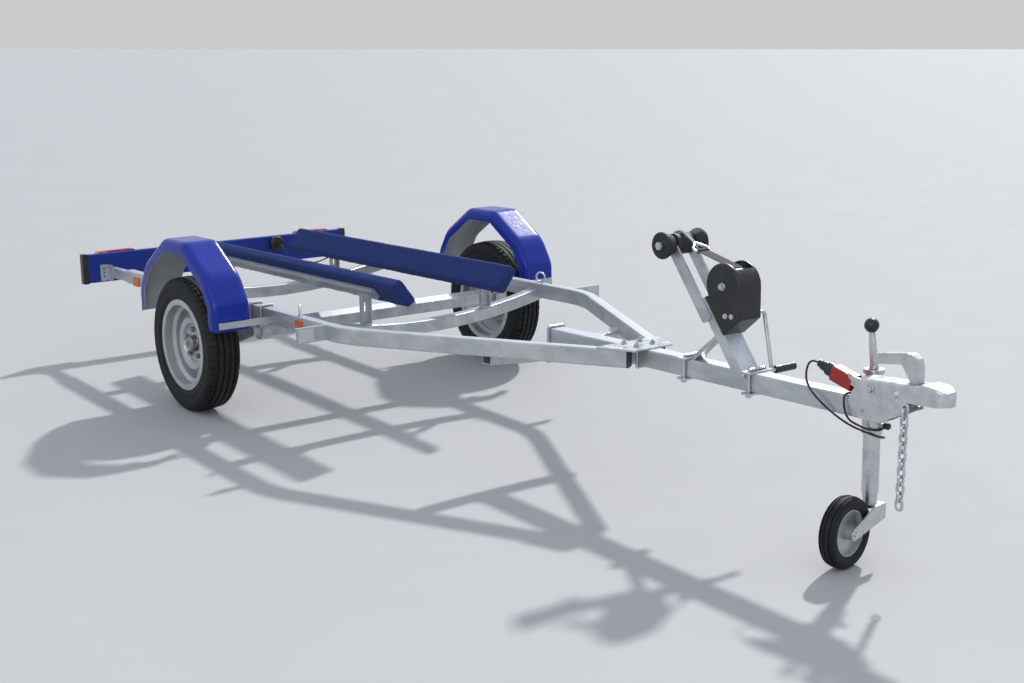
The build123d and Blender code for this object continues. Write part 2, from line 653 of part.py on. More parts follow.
LAMP_Y = 530
LAMP_W = 190
LAMP_H = 108
LAMP_D = 40
LAMP_TOP_Z = 494
with BuildPart() as tail_lamps:
    with BuildSketch(Plane.YZ.offset(board_rear_x)):
        with Locations((LAMP_Y, LAMP_TOP_Z - LAMP_H / 2), (-LAMP_Y, LAMP_TOP_Z - LAMP_H / 2)):
            RectangleRounded(LAMP_W, LAMP_H, 14)
    extrude(amount=-LAMP_D)
    chamfer(tail_lamps.faces().sort_by(Axis.X)[:2].edges(), length=5)
keep(tail_lamps.part, "tail_lamps")

# Round plug-in connector on the board's front.
CONNECTOR = (300, 452)
CONNECTOR_R = 36
CONNECTOR_L = 30
GLAND_OUT = 6
LEAD_OUT_R = 8
LEAD_OUT_Z = 446
with BuildPart() as lamp_connector:
    with BuildSketch(Plane.YZ.offset(board_front_x)):
        with Locations(CONNECTOR):
            Circle(CONNECTOR_R)
    extrude(amount=CONNECTOR_L)
    chamfer(lamp_connector.faces().sort_by(Axis.X)[-1].edges(), length=6)
    with BuildSketch(Plane.YZ.offset(board_front_x + CONNECTOR_L)):
        with Locations((CONNECTOR[0], LEAD_OUT_Z)):
            Circle(LEAD_OUT_R)
    extrude(amount=GLAND_OUT)
keep(lamp_connector.part, "lamp_connector")

# Reflectors: white ones on the plates, amber ones on the rails' sides.
WHITE_W = 64
WHITE_H = 46
WHITE_IN = 5
LENS_T = 6
white_y = TAB_END_Y - WHITE_IN - WHITE_W / 2
with BuildPart() as white_reflectors:
    with BuildSketch(Plane.YZ.offset(TAB_X)):
        with Locations(*[(side * white_y, RAIL_TOP - WHITE_IN - WHITE_H / 2) for side, tag in SIDES]):
            Rectangle(WHITE_W, WHITE_H)
    extrude(amount=LENS_T)
keep(white_reflectors.part, "white_reflectors")

AMBERS = ((566, 408, 50, 22), (-900, 392, 60, 40))
with BuildPart() as amber_reflectors:
    for side, tag in SIDES:
        with BuildSketch(Plane.XZ.offset(-max(side * rail_out_y, side * (rail_out_y + LENS_T)))):
            for x, z, w, h in AMBERS:
                with Locations((x, z)):
                    Rectangle(w, h)
        extrude(amount=LENS_T)
keep(amber_reflectors.part, "amber_reflectors")

# Tie rings on the rails.
TIE_X = 550
TIE_R = 19
TIE_ROD = 4
with BuildPart() as tie_rings:
    with Locations(*[Pos(TIE_X, side * (RAIL_Y + 8), RAIL_TOP + TIE_R + TIE_ROD) * Rot(0, 0, side * 30) * Rot(90, 0, 0)
                     for side, tag in SIDES]):
        Torus(TIE_R, TIE_ROD)
    with BuildSketch(Plane.XY.offset(RAIL_TOP)):
        with Locations(*[(TIE_X, side * (RAIL_Y + 8)) for side, tag in SIDES]):
            RegularPolygon(9, 6)
    extrude(amount=TIE_ROD + 1)
keep(tie_rings.part, "tie_rings")


def flat(points, low_y, high_y, rounding=0):
    """A plate seen from the side, between two values of y; its corners rounded where asked."""
    with BuildPart() as plate:
        with BuildSketch(Plane.XZ.offset(-high_y)) as outline:
            Polygon(*points, align=None)
            if rounding:
                fillet(outline.vertices(), radius=rounding)
        extrude(amount=high_y - low_y)
    return plate.part


def up_post(along, across=0):
    """x and z of a point given along the post from its foot, and across it from its front face."""
    lean = radians(POST_LEAN)
    return (POST_X - along * sin(lean) - across * cos(lean), RAIL_TOP + along * cos(lean) - across * sin(lean))


# Winch post: a channel with its back to the front, leaning back over the drawbar.
STRADDLE = 18
POST_L = (POST_TOP_Z - RAIL_TOP) / cos(radians(POST_LEAN))
ends = (-2 * STRADDLE - POST_D, POST_L)
outer = [up_post(a, c) for a, c in ((ends[0], 0), (ends[1], 0), (ends[1], POST_D), (ends[0], POST_D))]
inner = [up_post(a, c) for a, c in ((ends[0] - POST_D, POST_WALL), (ends[1] + POST_D, POST_WALL),
                                    (ends[1] + POST_D, 2 * POST_D), (ends[0] - POST_D, 2 * POST_D))]
with BuildPart() as winch_post:
    add(flat(outer, -POST_W / 2, POST_W / 2))
    add(flat(inner, POST_WALL - POST_W / 2, POST_W / 2 - POST_WALL), mode=Mode.SUBTRACT)
    with BuildSketch(Plane.YZ.offset(POST_X - 2 * POST_D)):
        with Locations((0, RAIL_TOP)):
            Rectangle(BAR, BAR, align=(Align.CENTER, Align.MAX))
        with Locations((0, RAIL_TOP - STRADDLE)):
            Rectangle(2 * POST_W, 2 * POST_W, align=(Align.CENTER, Align.MAX))
    extrude(amount=4 * POST_D, mode=Mode.SUBTRACT)


# Brace from the rear clamp up into the post.
BRACE_T = 6
BRACE_W = 38
BRACE_AT = 150
foot_x = CLAMP_X[0] + CLAMP_W / 2
head_x, head_z = up_post(BRACE_AT, POST_WALL / 2)
span = hypot(head_x - foot_x, head_z - RAIL_TOP)
thick_x, thick_z = (RAIL_TOP - head_z) / span * BRACE_T, (head_x - foot_x) / span * BRACE_T
with BuildPart() as post_brace:
    add(flat(((foot_x, RAIL_TOP), (foot_x + 2 * BRACE_T, RAIL_TOP), (head_x, head_z),
              (head_x + thick_x, head_z + thick_z), (foot_x, RAIL_TOP + 1.5 * BRACE_T)), -BRACE_W / 2, BRACE_W / 2))
    add(winch_post.part, mode=Mode.SUBTRACT)


# Flat arms on the post's sides that carry the bow rollers.
ARM_FOOT = 200
ARM_HEAD = 16
lean = radians(POST_LEAN)
roller_along = (POST_X - ROLLER_X) * sin(lean) + (ROLLER_Z - RAIL_TOP) * cos(lean)
roller_across = (POST_X - ROLLER_X) * cos(lean) - (ROLLER_Z - RAIL_TOP) * sin(lean)
arm_ends = (ARM_FOOT, roller_along + ARM_HEAD)
arm_points = [up_post(a, roller_across + c * ARM_W / 2)
              for a, c in ((arm_ends[0], -1), (arm_ends[1], -1), (arm_ends[1], 1), (arm_ends[0], 1))]
with BuildPart() as roller_arms:
    for low_y in (POST_W / 2, -POST_W / 2 - ARM_BAR_T):
        add(flat(arm_points, low_y, low_y + ARM_BAR_T, 8))

# Bow rollers: one between the arms and a cone outside each, on one shaft with a nut at each end.
ROLLER_END_Y = 87
MID_R = 34
CONE_IN_R = 31
CONE_OUT_R = 43
SIDE_GAP = 2
arm_out_y = POST_W / 2 + ARM_BAR_T
NUT_T = 9
with BuildPart() as roller_frame:
    add(roller_arms.part)
    with BuildSketch(Plane.XZ.offset(-ROLLER_END_Y - SIDE_GAP)):
        with Locations((ROLLER_X, ROLLER_Z)):
            Circle(SHAFT_R)
    extrude(amount=2 * (ROLLER_END_Y + SIDE_GAP))
    for y in (ROLLER_END_Y + SIDE_GAP + NUT_T, -ROLLER_END_Y - SIDE_GAP):
        with BuildSketch(Plane.XZ.offset(-y)):
            with Locations((ROLLER_X, ROLLER_Z)):
                RegularPolygon(SHAFT_R * 1.7, 6)
        extrude(amount=NUT_T)
keep(roller_frame.part, "roller_arms")

roller_axis = Axis((ROLLER_X, 0, ROLLER_Z), (0, 1, 0))
mid_y = POST_W / 2 - SIDE_GAP
bore = SHAFT_R + RUN
PROFILES = {"roller_middle": ((-mid_y, bore), (mid_y, bore), (mid_y, MID_R - 3), (mid_y - 3, MID_R), (3 - mid_y, MID_R),
                              (-mid_y, MID_R - 3))}
for side, tag in SIDES:
    a, b = side * (arm_out_y + SIDE_GAP), side * ROLLER_END_Y
    PROFILES[f"roller_{tag}"] = ((a, bore), (b, bore), (b, CONE_OUT_R - 3), (b - side * 3, CONE_OUT_R),
                                 (b - side * 10, CONE_OUT_R), (a, CONE_IN_R))
for label, profile in PROFILES.items():
    with BuildPart() as roller:
        with BuildSketch(Plane(origin=(ROLLER_X, 0, ROLLER_Z), x_dir=(0, 1, 0), z_dir=(1, 0, 0))):
            Polygon(*profile, align=None)
        revolve(axis=roller_axis)
    keep(roller.part, label)

# Winch: a steel foot on the post, a reel and a moulded cover open at the top and rear.
FOOT_PLATE_T = 6
FOOT_PLATE_W = 92
FOOT_AT = (126, 262)
MOUTH_W = 76
MOUTH_TO_X = 46
REEL_R = 56
REEL_SHAFT_R = 8
PIN_OUT = 7
foot_points = [up_post(a, c) for a, c in ((FOOT_AT[0], 0), (FOOT_AT[1], 0), (FOOT_AT[1], -FOOT_PLATE_T),
                                          (FOOT_AT[0], -FOOT_PLATE_T))]
with BuildPart() as winch_foot:
    add(flat(foot_points, -FOOT_PLATE_W / 2, FOOT_PLATE_W / 2))
with BuildPart() as post_frame:
    add(winch_post.part)
    add(post_brace.part)
    add(winch_foot.part)
keep(post_frame.part, "winch_post")


def cover_outline(inset):
    """The winch cover seen from the side, drawn in by the wall where asked."""
    with BuildSketch() as outline:
        with Locations((WINCH_X, WINCH_Z)):
            Circle(WINCH_R)
        Polygon(foot_points[2], (WINCH_X, WINCH_Z), (WINCH_X + WINCH_R, WINCH_Z), (WINCH_X + WINCH_R, WINCH_LOW_Z),
                foot_points[3], align=None)
        Polygon(foot_points[2], (WINCH_X - WINCH_R * cos(lean), WINCH_Z - WINCH_R * sin(lean)), (WINCH_X, WINCH_Z), align=None)
        if inset:
            offset(amount=-inset, kind=Kind.INTERSECTION)
    return outline.sketch_local


with BuildPart() as winch_cover:
    with BuildSketch(Plane.XZ.offset(-WINCH_W / 2)):
        add(cover_outline(0))
    extrude(amount=WINCH_W)
    soft = winch_cover.faces().filter_by(Axis.Y).edges().filter_by(lambda e: e.center().X > WINCH_X + WINCH_R / 2
                                                                   or e.center().Z > WINCH_Z + WINCH_R / 2)
    fillet(soft, radius=COVER_ROUND)
    with BuildSketch(Plane.XZ.offset(WINCH_WALL - WINCH_W / 2)):
        add(cover_outline(WINCH_WALL))
    extrude(amount=WINCH_W - 2 * WINCH_WALL, mode=Mode.SUBTRACT)
    with BuildSketch(Plane.XY.offset(WINCH_Z + REEL_SHAFT_R)):
        with Locations((WINCH_X + MOUTH_TO_X, 0)):
            Rectangle(2 * WINCH_R, MOUTH_W, align=(Align.MAX, Align.CENTER))
    extrude(amount=WINCH_R, mode=Mode.SUBTRACT)
    with BuildSketch(Plane.XZ.offset(-WINCH_W)):
        with Locations((WINCH_X, WINCH_Z), (CRANK_X, CRANK_Z)):
            Circle(REEL_SHAFT_R + RUN)
    extrude(amount=2 * WINCH_W, mode=Mode.SUBTRACT)
keep(winch_cover.part, "winch_cover")

with BuildPart() as winch_reel:
    with BuildSketch(Plane.XZ.offset(AIR - MOUTH_W / 2)):
        with Locations((WINCH_X, WINCH_Z)):
            Circle(REEL_R)
    extrude(amount=MOUTH_W - 2 * AIR)
    with BuildSketch(Plane.XZ.offset(-WINCH_W / 2 - PIN_OUT)):
        with Locations((WINCH_X, WINCH_Z)):
            Circle(REEL_SHAFT_R)
    extrude(amount=WINCH_W + 2 * PIN_OUT)
keep(winch_reel.part, "winch_reel")

# Strap from the reel to the snap hook, pulled tight over the middle roller.
STRAP_W = 45
WEB_T = 2.5
HOOK_EYE = (2086, 783)
HOOK_ROD_R = 5
HOOK_SHOULDER = 15
HOOK_NECK = 40
HOOK_OVER = 75


def tangent(centre, radius, point):
    """The angle at which a line from the point touches the top of a circle."""
    dx, dz = point[0] - centre[0], point[1] - centre[1]
    swing = acos(radius / hypot(dx, dz))
    return atan2(dz, dx) + (swing if dx > 0 else -swing)


def on_circle(centre, radius, angle):
    return (centre[0] + radius * cos(angle), centre[1] + radius * sin(angle))


reel = (WINCH_X, WINCH_Z)
leave = tangent(reel, REEL_R + WEB_T / 2, HOOK_EYE)
low, high = on_circle(reel, REEL_R, leave), on_circle(reel, REEL_R + WEB_T, leave)
half_x, half_z = WEB_T / 2 * cos(leave), WEB_T / 2 * sin(leave)
with BuildPart() as winch_strap:
    add(flat((low, high, (HOOK_EYE[0] + half_x, HOOK_EYE[1] + half_z), (HOOK_EYE[0] - half_x, HOOK_EYE[1] - half_z)),
             -STRAP_W / 2, STRAP_W / 2))
    with BuildSketch(Plane.XZ.offset(-STRAP_W / 2)):
        with Locations(HOOK_EYE):
            Circle(HOOK_ROD_R + RUN + WEB_T)
    extrude(amount=STRAP_W)
    with BuildSketch(Plane.XZ.offset(-STRAP_W)):
        with Locations(HOOK_EYE):
            Circle(HOOK_ROD_R + RUN)
    extrude(amount=2 * STRAP_W, mode=Mode.SUBTRACT)
keep(winch_strap.part, "winch_strap")

roller = (ROLLER_X, ROLLER_Z)
bend_r = MID_R + AIR + HOOK_ROD_R
land = tangent(roller, bend_r, HOOK_EYE)
touch = on_circle(roller, bend_r, land)
way = Vector(touch[0] - HOOK_EYE[0], 0, touch[1] - HOOK_EYE[1]).normalized()
neck = Vector(HOOK_EYE[0], 0, HOOK_EYE[1]) + way * HOOK_NECK
shoulder = Vector(HOOK_EYE[0], 0, HOOK_EYE[1]) + way * HOOK_SHOULDER
eye_y = STRAP_W / 2 + HOOK_ROD_R + 2
with BuildPart() as snap_hook:
    eye = Vector(HOOK_EYE[0], 0, HOOK_EYE[1])
    with BuildLine() as ring:
        FilletPolyline(eye + (0, -eye_y, 0), eye + (0, eye_y, 0), shoulder + (0, eye_y, 0), neck,
                       shoulder + (0, -eye_y, 0), radius=7, close=True)
    with BuildSketch(Plane(origin=ring.line @ 0, z_dir=ring.line % 0)):
        RegularPolygon(HOOK_ROD_R, 8)
    sweep(path=ring.line)
    with BuildLine(Plane.XZ) as shank:
        Line((neck.X, neck.Z), touch)
        CenterArc(roller, bend_r, degrees(land), HOOK_OVER)
    with BuildSketch(Plane(origin=shank.line @ 0, x_dir=(0, 1, 0), z_dir=shank.line % 0)):
        RegularPolygon(HOOK_ROD_R, 8)
    sweep(path=shank.line)
keep(snap_hook.part, "snap_hook")

# Crank on the winch's left side, and its grip.
CRANK_ROD_R = 6.5
GRIP_R = 12.5
GRIP_L = 92
crank_end = (CRANK_X + CRANK_L * sin(radians(CRANK_TURN)), CRANK_Z - CRANK_L * cos(radians(CRANK_TURN)))
with BuildPart() as crank:
    with BuildLine() as rod:
        FilletPolyline((CRANK_X, -WINCH_W / 2 - PIN_OUT, CRANK_Z), (CRANK_X, CRANK_Y, CRANK_Z),
                       (crank_end[0], CRANK_Y, crank_end[1]), (crank_end[0], CRANK_Y + GRIP_L + 2 * CRANK_ROD_R, crank_end[1]),
                       radius=2 * CRANK_ROD_R)
    with BuildSketch(Plane(origin=rod.line @ 0, z_dir=rod.line % 0)):
        Circle(CRANK_ROD_R)
    sweep(path=rod.line)
    with BuildSketch(Plane.XZ.offset(WINCH_W / 2 + PIN_OUT)):
        with Locations((CRANK_X, CRANK_Z)):
            Circle(REEL_SHAFT_R)
    extrude(amount=-WINCH_W - 3 * PIN_OUT)
keep(crank.part, "crank")

with BuildPart() as crank_grip:
    with BuildSketch(Plane.XZ.offset(-CRANK_Y - 2 * CRANK_ROD_R)):
        with Locations(crank_end):
            Circle(GRIP_R)
            Circle(CRANK_ROD_R, mode=Mode.SUBTRACT)
    extrude(amount=-GRIP_L)
    chamfer(crank_grip.edges().filter_by(GeomType.CIRCLE).group_by(SortBy.RADIUS)[-1], length=3)
keep(crank_grip.part, "crank_grip")

# Plates on the drawbar's front end that hold the coupling, with a lug for the chain.
COUPLER_IN_Y = COUPLER_W / 2 - COUPLER_T
CHAIN_HOLE = (2903, 434)
CHAIN_HOLE_R = 6.5
CROSS_BOLTS = ((2785, 467), (2870, 466))
BOLT_R = 6
BOLT_HEAD_R = 11
BOLT_HEAD_T = 8
PLATE_HOLE = (2761, 398)
plate_shape = ((2701, 421), (2744, 375), (2820, 375), (2897, 415), (2916, 422), (2914, 446), (2892, 452), (2886, 483),
               (2758, 483), (2728, 444))
with BuildPart() as side_plates:
    for low_y in (BAR / 2, -BAR / 2 - SIDE_PLATE_T):
        add(flat(plate_shape, low_y, low_y + SIDE_PLATE_T))
    with BuildSketch(Plane.XZ.offset(-COUPLER_W)):
        with Locations(*CROSS_BOLTS, PLATE_HOLE):
            Circle(BOLT_R + RUN)
        with Locations(CHAIN_HOLE):
            Circle(CHAIN_HOLE_R)
    extrude(amount=2 * COUPLER_W, mode=Mode.SUBTRACT)


# Coupling: a pressed channel with a rounded nose round the ball's socket.
COUPLER_TOP = ((2704, 427), (2743, 492), (2924, 500), (2960, 508), (3002, 505), (3028, 493), (3036, 476))
COUPLER_LOW = ((3036, 455), (2980, 452), (2803, 446))
NOSE_R = COUPLER_W / 2
TOP_ROUND = 7
SOCKET_FOOT_Z = 455
SOCKET_R = NOSE_R - COUPLER_T / 2
SOCKET_DEPTH = 30
SLOT_X = (2894, 2936)
SLOT_W = 30
LEVER_PIN = (2922, 481)
PIN_R = 5


def coupler_plan(half_y, nose_r):
    """The coupling seen from above: straight sides and a round nose."""
    with BuildSketch(Plane.XY.offset(BAR_LOW_Z)) as plan:
        Rectangle(BALL_X, 2 * half_y, align=(Align.MIN, Align.CENTER))
        with Locations((BALL_X, 0)):
            Circle(nose_r)
    return plan.sketch


with BuildPart() as coupler_hollow:
    under = [(x - COUPLER_T if x > BALL_X else x, z - COUPLER_T) for x, z in COUPLER_TOP[1:]]
    open_x = COUPLER_TOP[0][0] - BAR
    add(flat(((open_x, under[0][1]), *under, (under[-1][0], BAR_LOW_Z), (open_x, BAR_LOW_Z)),
             -COUPLER_IN_Y, COUPLER_IN_Y))
    add(extrude(coupler_plan(COUPLER_IN_Y, NOSE_R - COUPLER_T), 3 * BAR, mode=Mode.PRIVATE), mode=Mode.INTERSECT)
with BuildPart() as coupler_block:
    add(flat((*COUPLER_TOP, *COUPLER_LOW), -COUPLER_W / 2, COUPLER_W / 2))
    add(extrude(coupler_plan(COUPLER_W / 2, NOSE_R), 3 * BAR, mode=Mode.PRIVATE), mode=Mode.INTERSECT)
    ridge = [edge for face in coupler_block.faces() if face.normal_at().Z > 0.5 for edge in face.edges()
             if abs(edge.center().Y) > COUPLER_T or edge.geom_type != GeomType.LINE]
    fillet(ridge, radius=TOP_ROUND)
with BuildPart() as ball_socket:
    with BuildSketch(Plane.XY.offset(SOCKET_FOOT_Z)):
        with Locations((BALL_X, 0)):
            Circle(SOCKET_R)
    extrude(amount=BAR)
    add(coupler_block.part, mode=Mode.INTERSECT)
with BuildPart() as coupler:
    add(coupler_block.part)
    add(coupler_hollow.part, mode=Mode.SUBTRACT)
    add(ball_socket.part)
    with BuildSketch(Plane.XY.offset(SOCKET_FOOT_Z - BAR)):
        with Locations((BALL_X, 0)):
            Circle(BALL_BORE_R)
    extrude(amount=BAR + SOCKET_DEPTH, mode=Mode.SUBTRACT)
    with BuildSketch(Plane.XY.offset(SOCKET_FOOT_Z)):
        with Locations(((SLOT_X[0] + SLOT_X[1]) / 2, 0)):
            Rectangle(SLOT_X[1] - SLOT_X[0], SLOT_W)
    extrude(amount=BAR, mode=Mode.SUBTRACT)
    with BuildSketch(Plane.XZ.offset(-COUPLER_W)):
        with Locations(*CROSS_BOLTS):
            Circle(BOLT_R + RUN)
        with Locations(LEVER_PIN):
            Circle(PIN_R + RUN)
    extrude(amount=2 * COUPLER_W, mode=Mode.SUBTRACT)
keep(coupler.part, "coupler")

with BuildPart() as coupler_bolts:
    for x, z in CROSS_BOLTS:
        with BuildSketch(Plane.XZ.offset(-COUPLER_W / 2 - BOLT_HEAD_T)):
            with Locations((x, z)):
                Circle(BOLT_R)
        extrude(amount=COUPLER_W + 2 * BOLT_HEAD_T)
        for y in (COUPLER_W / 2 + BOLT_HEAD_T, -COUPLER_W / 2):
            with BuildSketch(Plane.XZ.offset(-y)):
                with Locations((x, z)):
                    RegularPolygon(BOLT_HEAD_R, 6)
            extrude(amount=BOLT_HEAD_T)


# Lever that frees the ball: a pressed channel bent back over the coupling, on a cross pin.
LEVER_T = 3
LEVER_W = 26
LEVER_SIDE = ((2780, 536), (2780, 566), (2886, 582), (2908, 580), (2923, 570), (2930, 550), (2931, 470), (2904, 470),
              (2900, 506), (2872, 548))
with BuildSketch() as lever_inside:
    Polygon(*LEVER_SIDE, align=None)
    offset(amount=-LEVER_T, kind=Kind.INTERSECTION)
with BuildPart() as coupler_lever:
    add(flat(LEVER_SIDE, -LEVER_W / 2, LEVER_W / 2))
    with BuildSketch(Plane.XZ.offset(LEVER_T - LEVER_W / 2)):
        with Locations((0, 0), (-2 * LEVER_T, -2 * LEVER_T)):
            add(lever_inside.sketch)
    extrude(amount=LEVER_W - 2 * LEVER_T, mode=Mode.SUBTRACT)
    with BuildSketch(Plane.XZ.offset(-COUPLER_W / 2)):
        with Locations(LEVER_PIN):
            Circle(PIN_R)
    extrude(amount=COUPLER_W)
keep(coupler_lever.part, "coupler_lever")

# Clamp on the drawbar's left side that holds the jockey wheel's outer tube.
CLAMP_Z = (309, 422)
CLAMP_RING_T = 5
CLAMP_FOOT = 2 * JOCKEY_R + 34
CLAMP_FOOT_T = 6
EAR_L = 12
EAR_W = 16
EAR_H = 9
CLAMP_KNOB_Z = 339
CLAMP_KNOB_X = 2760
KNOB_R = 10
ring_r = JOCKEY_R + CLAMP_RING_T
plate_y = BAR / 2 + SIDE_PLATE_T
with BuildPart() as jockey_clamp:
    with BuildSketch(Plane.XY.offset(CLAMP_Z[0])):
        with Locations((JOCKEY_X, JOCKEY_Y)):
            Circle(ring_r)
        with Locations((JOCKEY_X, plate_y)):
            Rectangle(3 * ring_r, ring_r, align=(Align.CENTER, Align.MAX), mode=Mode.SUBTRACT)
    extrude(amount=CLAMP_Z[1] - CLAMP_Z[0])
    with BuildSketch(Plane.XY.offset(CLAMP_KNOB_Z - EAR_H / 2)):
        with Locations((JOCKEY_X + ring_r, JOCKEY_Y)):
            Rectangle(2 * EAR_L, EAR_W)
    extrude(amount=EAR_H)
    with BuildSketch(Plane.XY.offset(BAR_LOW_Z + SIDE_PLATE_T)):
        with Locations((JOCKEY_X, plate_y)):
            Rectangle(CLAMP_FOOT, CLAMP_FOOT_T, align=(Align.CENTER, Align.MIN))
    extrude(amount=CLAMP_Z[1] - BAR_LOW_Z - SIDE_PLATE_T)
    with BuildSketch(Plane.XY.offset(CLAMP_Z[0])):
        with Locations((JOCKEY_X, JOCKEY_Y)):
            Circle(JOCKEY_R + RUN)
    extrude(amount=CLAMP_Z[1] - CLAMP_Z[0], mode=Mode.SUBTRACT)
    with BuildSketch(Plane.YZ.offset(JOCKEY_X + ring_r)):
        with Locations((JOCKEY_Y, CLAMP_KNOB_Z)):
            Circle(SIDE_PLATE_T)
    extrude(amount=CLAMP_KNOB_X - JOCKEY_X - ring_r)
keep(jockey_clamp.part, "jockey_clamp")

with BuildPart() as clamp_knob:
    with BuildSketch(Plane.YZ.offset(CLAMP_KNOB_X)):
        with Locations((JOCKEY_Y, CLAMP_KNOB_Z)):
            Circle(KNOB_R)
    extrude(amount=2 * KNOB_R)
    chamfer(clamp_knob.edges().filter_by(GeomType.CIRCLE), length=3)
keep(clamp_knob.part, "clamp_knob")

# Jockey wheel: outer tube with a collar at its head, and the crank handle that stands in it.
COLLAR_R = 31
COLLAR_H = 12
SPINDLE_R = 8
SPINDLE_IN = 30
with BuildPart() as jockey_tube:
    with BuildSketch(Plane.XY.offset(JOCKEY_FOOT_Z)):
        with Locations((JOCKEY_X, JOCKEY_Y)):
            Circle(JOCKEY_R)
            Circle(JOCKEY_R - JOCKEY_WALL, mode=Mode.SUBTRACT)
    extrude(amount=JOCKEY_TOP_Z - JOCKEY_FOOT_Z)
    with BuildSketch(Plane.XY.offset(JOCKEY_TOP_Z)):
        with Locations((JOCKEY_X, JOCKEY_Y)):
            Circle(COLLAR_R)
            Circle(SPINDLE_R + RUN, mode=Mode.SUBTRACT)
    extrude(amount=COLLAR_H)
keep(jockey_tube.part, "jockey_tube")

HANDLE_TOP = (2706, 605)
HANDLE_R = 9
BALL_R = 21.5
handle_z = JOCKEY_TOP_Z + COLLAR_H + AIR
with BuildPart() as jockey_handle:
    with BuildSketch(Plane.XY.offset(JOCKEY_TOP_Z + COLLAR_H - SPINDLE_IN)):
        with Locations((JOCKEY_X, JOCKEY_Y)):
            Circle(SPINDLE_R)
    extrude(amount=SPINDLE_IN + AIR)
    with BuildSketch(Plane.XY.offset(handle_z)):
        with Locations((JOCKEY_X, JOCKEY_Y)):
            Circle(HANDLE_R + 5)
    extrude(amount=8)
    with BuildSketch(Plane.XY.offset(handle_z + 8)):
        with Locations((JOCKEY_X, JOCKEY_Y)):
            RectangleRounded(2 * HANDLE_R + 4, 2 * HANDLE_R, 5)
    with BuildSketch(Plane.XY.offset(HANDLE_TOP[1])):
        with Locations((HANDLE_TOP[0], JOCKEY_Y)):
            RectangleRounded(2 * HANDLE_R, 2 * HANDLE_R - 4, 5)
    loft()
keep(jockey_handle.part, "jockey_handle")

with BuildPart() as handle_knob:
    with Locations((HANDLE_TOP[0] - 2, JOCKEY_Y, HANDLE_TOP[1] + BALL_R - 2)):
        Sphere(BALL_R)
    with BuildSketch(Plane.XY.offset(HANDLE_TOP[1] - BALL_R)):
        Rectangle(4 * JOCKEY_X, 4 * JOCKEY_X)
    extrude(amount=BALL_R, mode=Mode.SUBTRACT)
keep(handle_knob.part, "handle_knob")

# Inner tube, with the king pin that the wheel's fork turns on.
turn = radians(TURN)
nose = radians(NOSE_UP)
trail_way = Vector(sin(turn), -cos(turn), 0)
axle_way = Vector(cos(turn), sin(turn), 0)
hub_x = JOCKEY_X + TRAIL * trail_way.X
hub_y = JOCKEY_Y + TRAIL * trail_way.Y
hub_high = (SMALL_R - SMALL_CROWN) * cos(asin(sin(nose) * axle_way.X)) + SMALL_CROWN
hub_z = WHEEL_R + (hub_high - WHEEL_R - hub_x * sin(nose)) / cos(nose)
hub = Vector(hub_x, hub_y, hub_z)
FORK_CROWN_Z = 99
FORK_T = 6
FORK_GAP = 5.5
LEG_R = JOCKEY_R - JOCKEY_WALL - RUN
LEG_UP = 300
KING_R = 8
KING_NUT_R = 14
with BuildPart() as jockey_leg:
    with BuildSketch(Plane.XY.offset(FORK_CROWN_Z + RUN)):
        with Locations((JOCKEY_X, JOCKEY_Y)):
            Circle(LEG_R)
    extrude(amount=LEG_UP)
    with BuildSketch(Plane.XY.offset(FORK_CROWN_Z + RUN + 2 * JOCKEY_WALL)):
        with Locations((JOCKEY_X, JOCKEY_Y)):
            Circle(LEG_R - JOCKEY_WALL)
    extrude(amount=LEG_UP, mode=Mode.SUBTRACT)
    with BuildSketch(Plane.XY.offset(FORK_CROWN_Z + RUN)):
        with Locations((JOCKEY_X, JOCKEY_Y)):
            Circle(KING_R)
    extrude(amount=-FORK_T - 3 * RUN)
    with BuildSketch(Plane.XY.offset(FORK_CROWN_Z - FORK_T - RUN)):
        with Locations((JOCKEY_X, JOCKEY_Y)):
            RegularPolygon(KING_NUT_R, 6)
    extrude(amount=-9)
keep(jockey_leg.part, "jockey_leg")

# Fork: a crown under the leg and a trailing arm on each side of the wheel.
FORK_BACK = 30
FORK_DROP = 46
FORK_HUB_R = 19
fork_in = SMALL_W / 2 + FORK_GAP
crown_front = TRAIL - SMALL_R + 1
fork_plane = Plane(origin=(JOCKEY_X, JOCKEY_Y, 0), x_dir=trail_way, z_dir=axle_way)
up = 1 if fork_plane.y_dir.Z > 0 else -1
AXLE_PIN_R = 8
with BuildPart() as jockey_fork:
    for face in (fork_in, -fork_in - FORK_T):
        with BuildSketch(fork_plane.offset(face)):
            with BuildLine():
                hub_2d = Vector(TRAIL, up * hub_z)
                back_top, back_low = Vector(-FORK_BACK, up * FORK_CROWN_Z), Vector(-FORK_BACK, up * (FORK_CROWN_Z - FORK_DROP))
                top_knee = Vector(crown_front, up * FORK_CROWN_Z)
                top_end = hub_2d + Vector(FORK_HUB_R * 0.42, up * FORK_HUB_R * 0.9)
                low_end = hub_2d - Vector(FORK_HUB_R * 0.42, up * FORK_HUB_R * 0.9)
                tip = hub_2d + Vector(FORK_HUB_R * 0.9, -up * FORK_HUB_R * 0.42)
                Polyline(low_end, back_low, back_top, top_knee, top_end)
                ThreePointArc(top_end, tip, low_end)
            make_face()
        extrude(amount=FORK_T)
    with BuildSketch(Plane(origin=(JOCKEY_X, JOCKEY_Y, FORK_CROWN_Z), x_dir=trail_way, z_dir=(0, 0, 1))):
        with Locations(((crown_front - FORK_BACK) / 2, 0)):
            Rectangle(crown_front + FORK_BACK, 2 * fork_in)
        Circle(KING_R + RUN, mode=Mode.SUBTRACT)
    extrude(amount=-FORK_T)
    with BuildSketch(fork_plane.offset(-fork_in - 2 * FORK_T)):
        with Locations((TRAIL, up * hub_z)):
            Circle(AXLE_PIN_R)
    extrude(amount=2 * fork_in + 4 * FORK_T)
keep(jockey_fork.part, "jockey_fork")

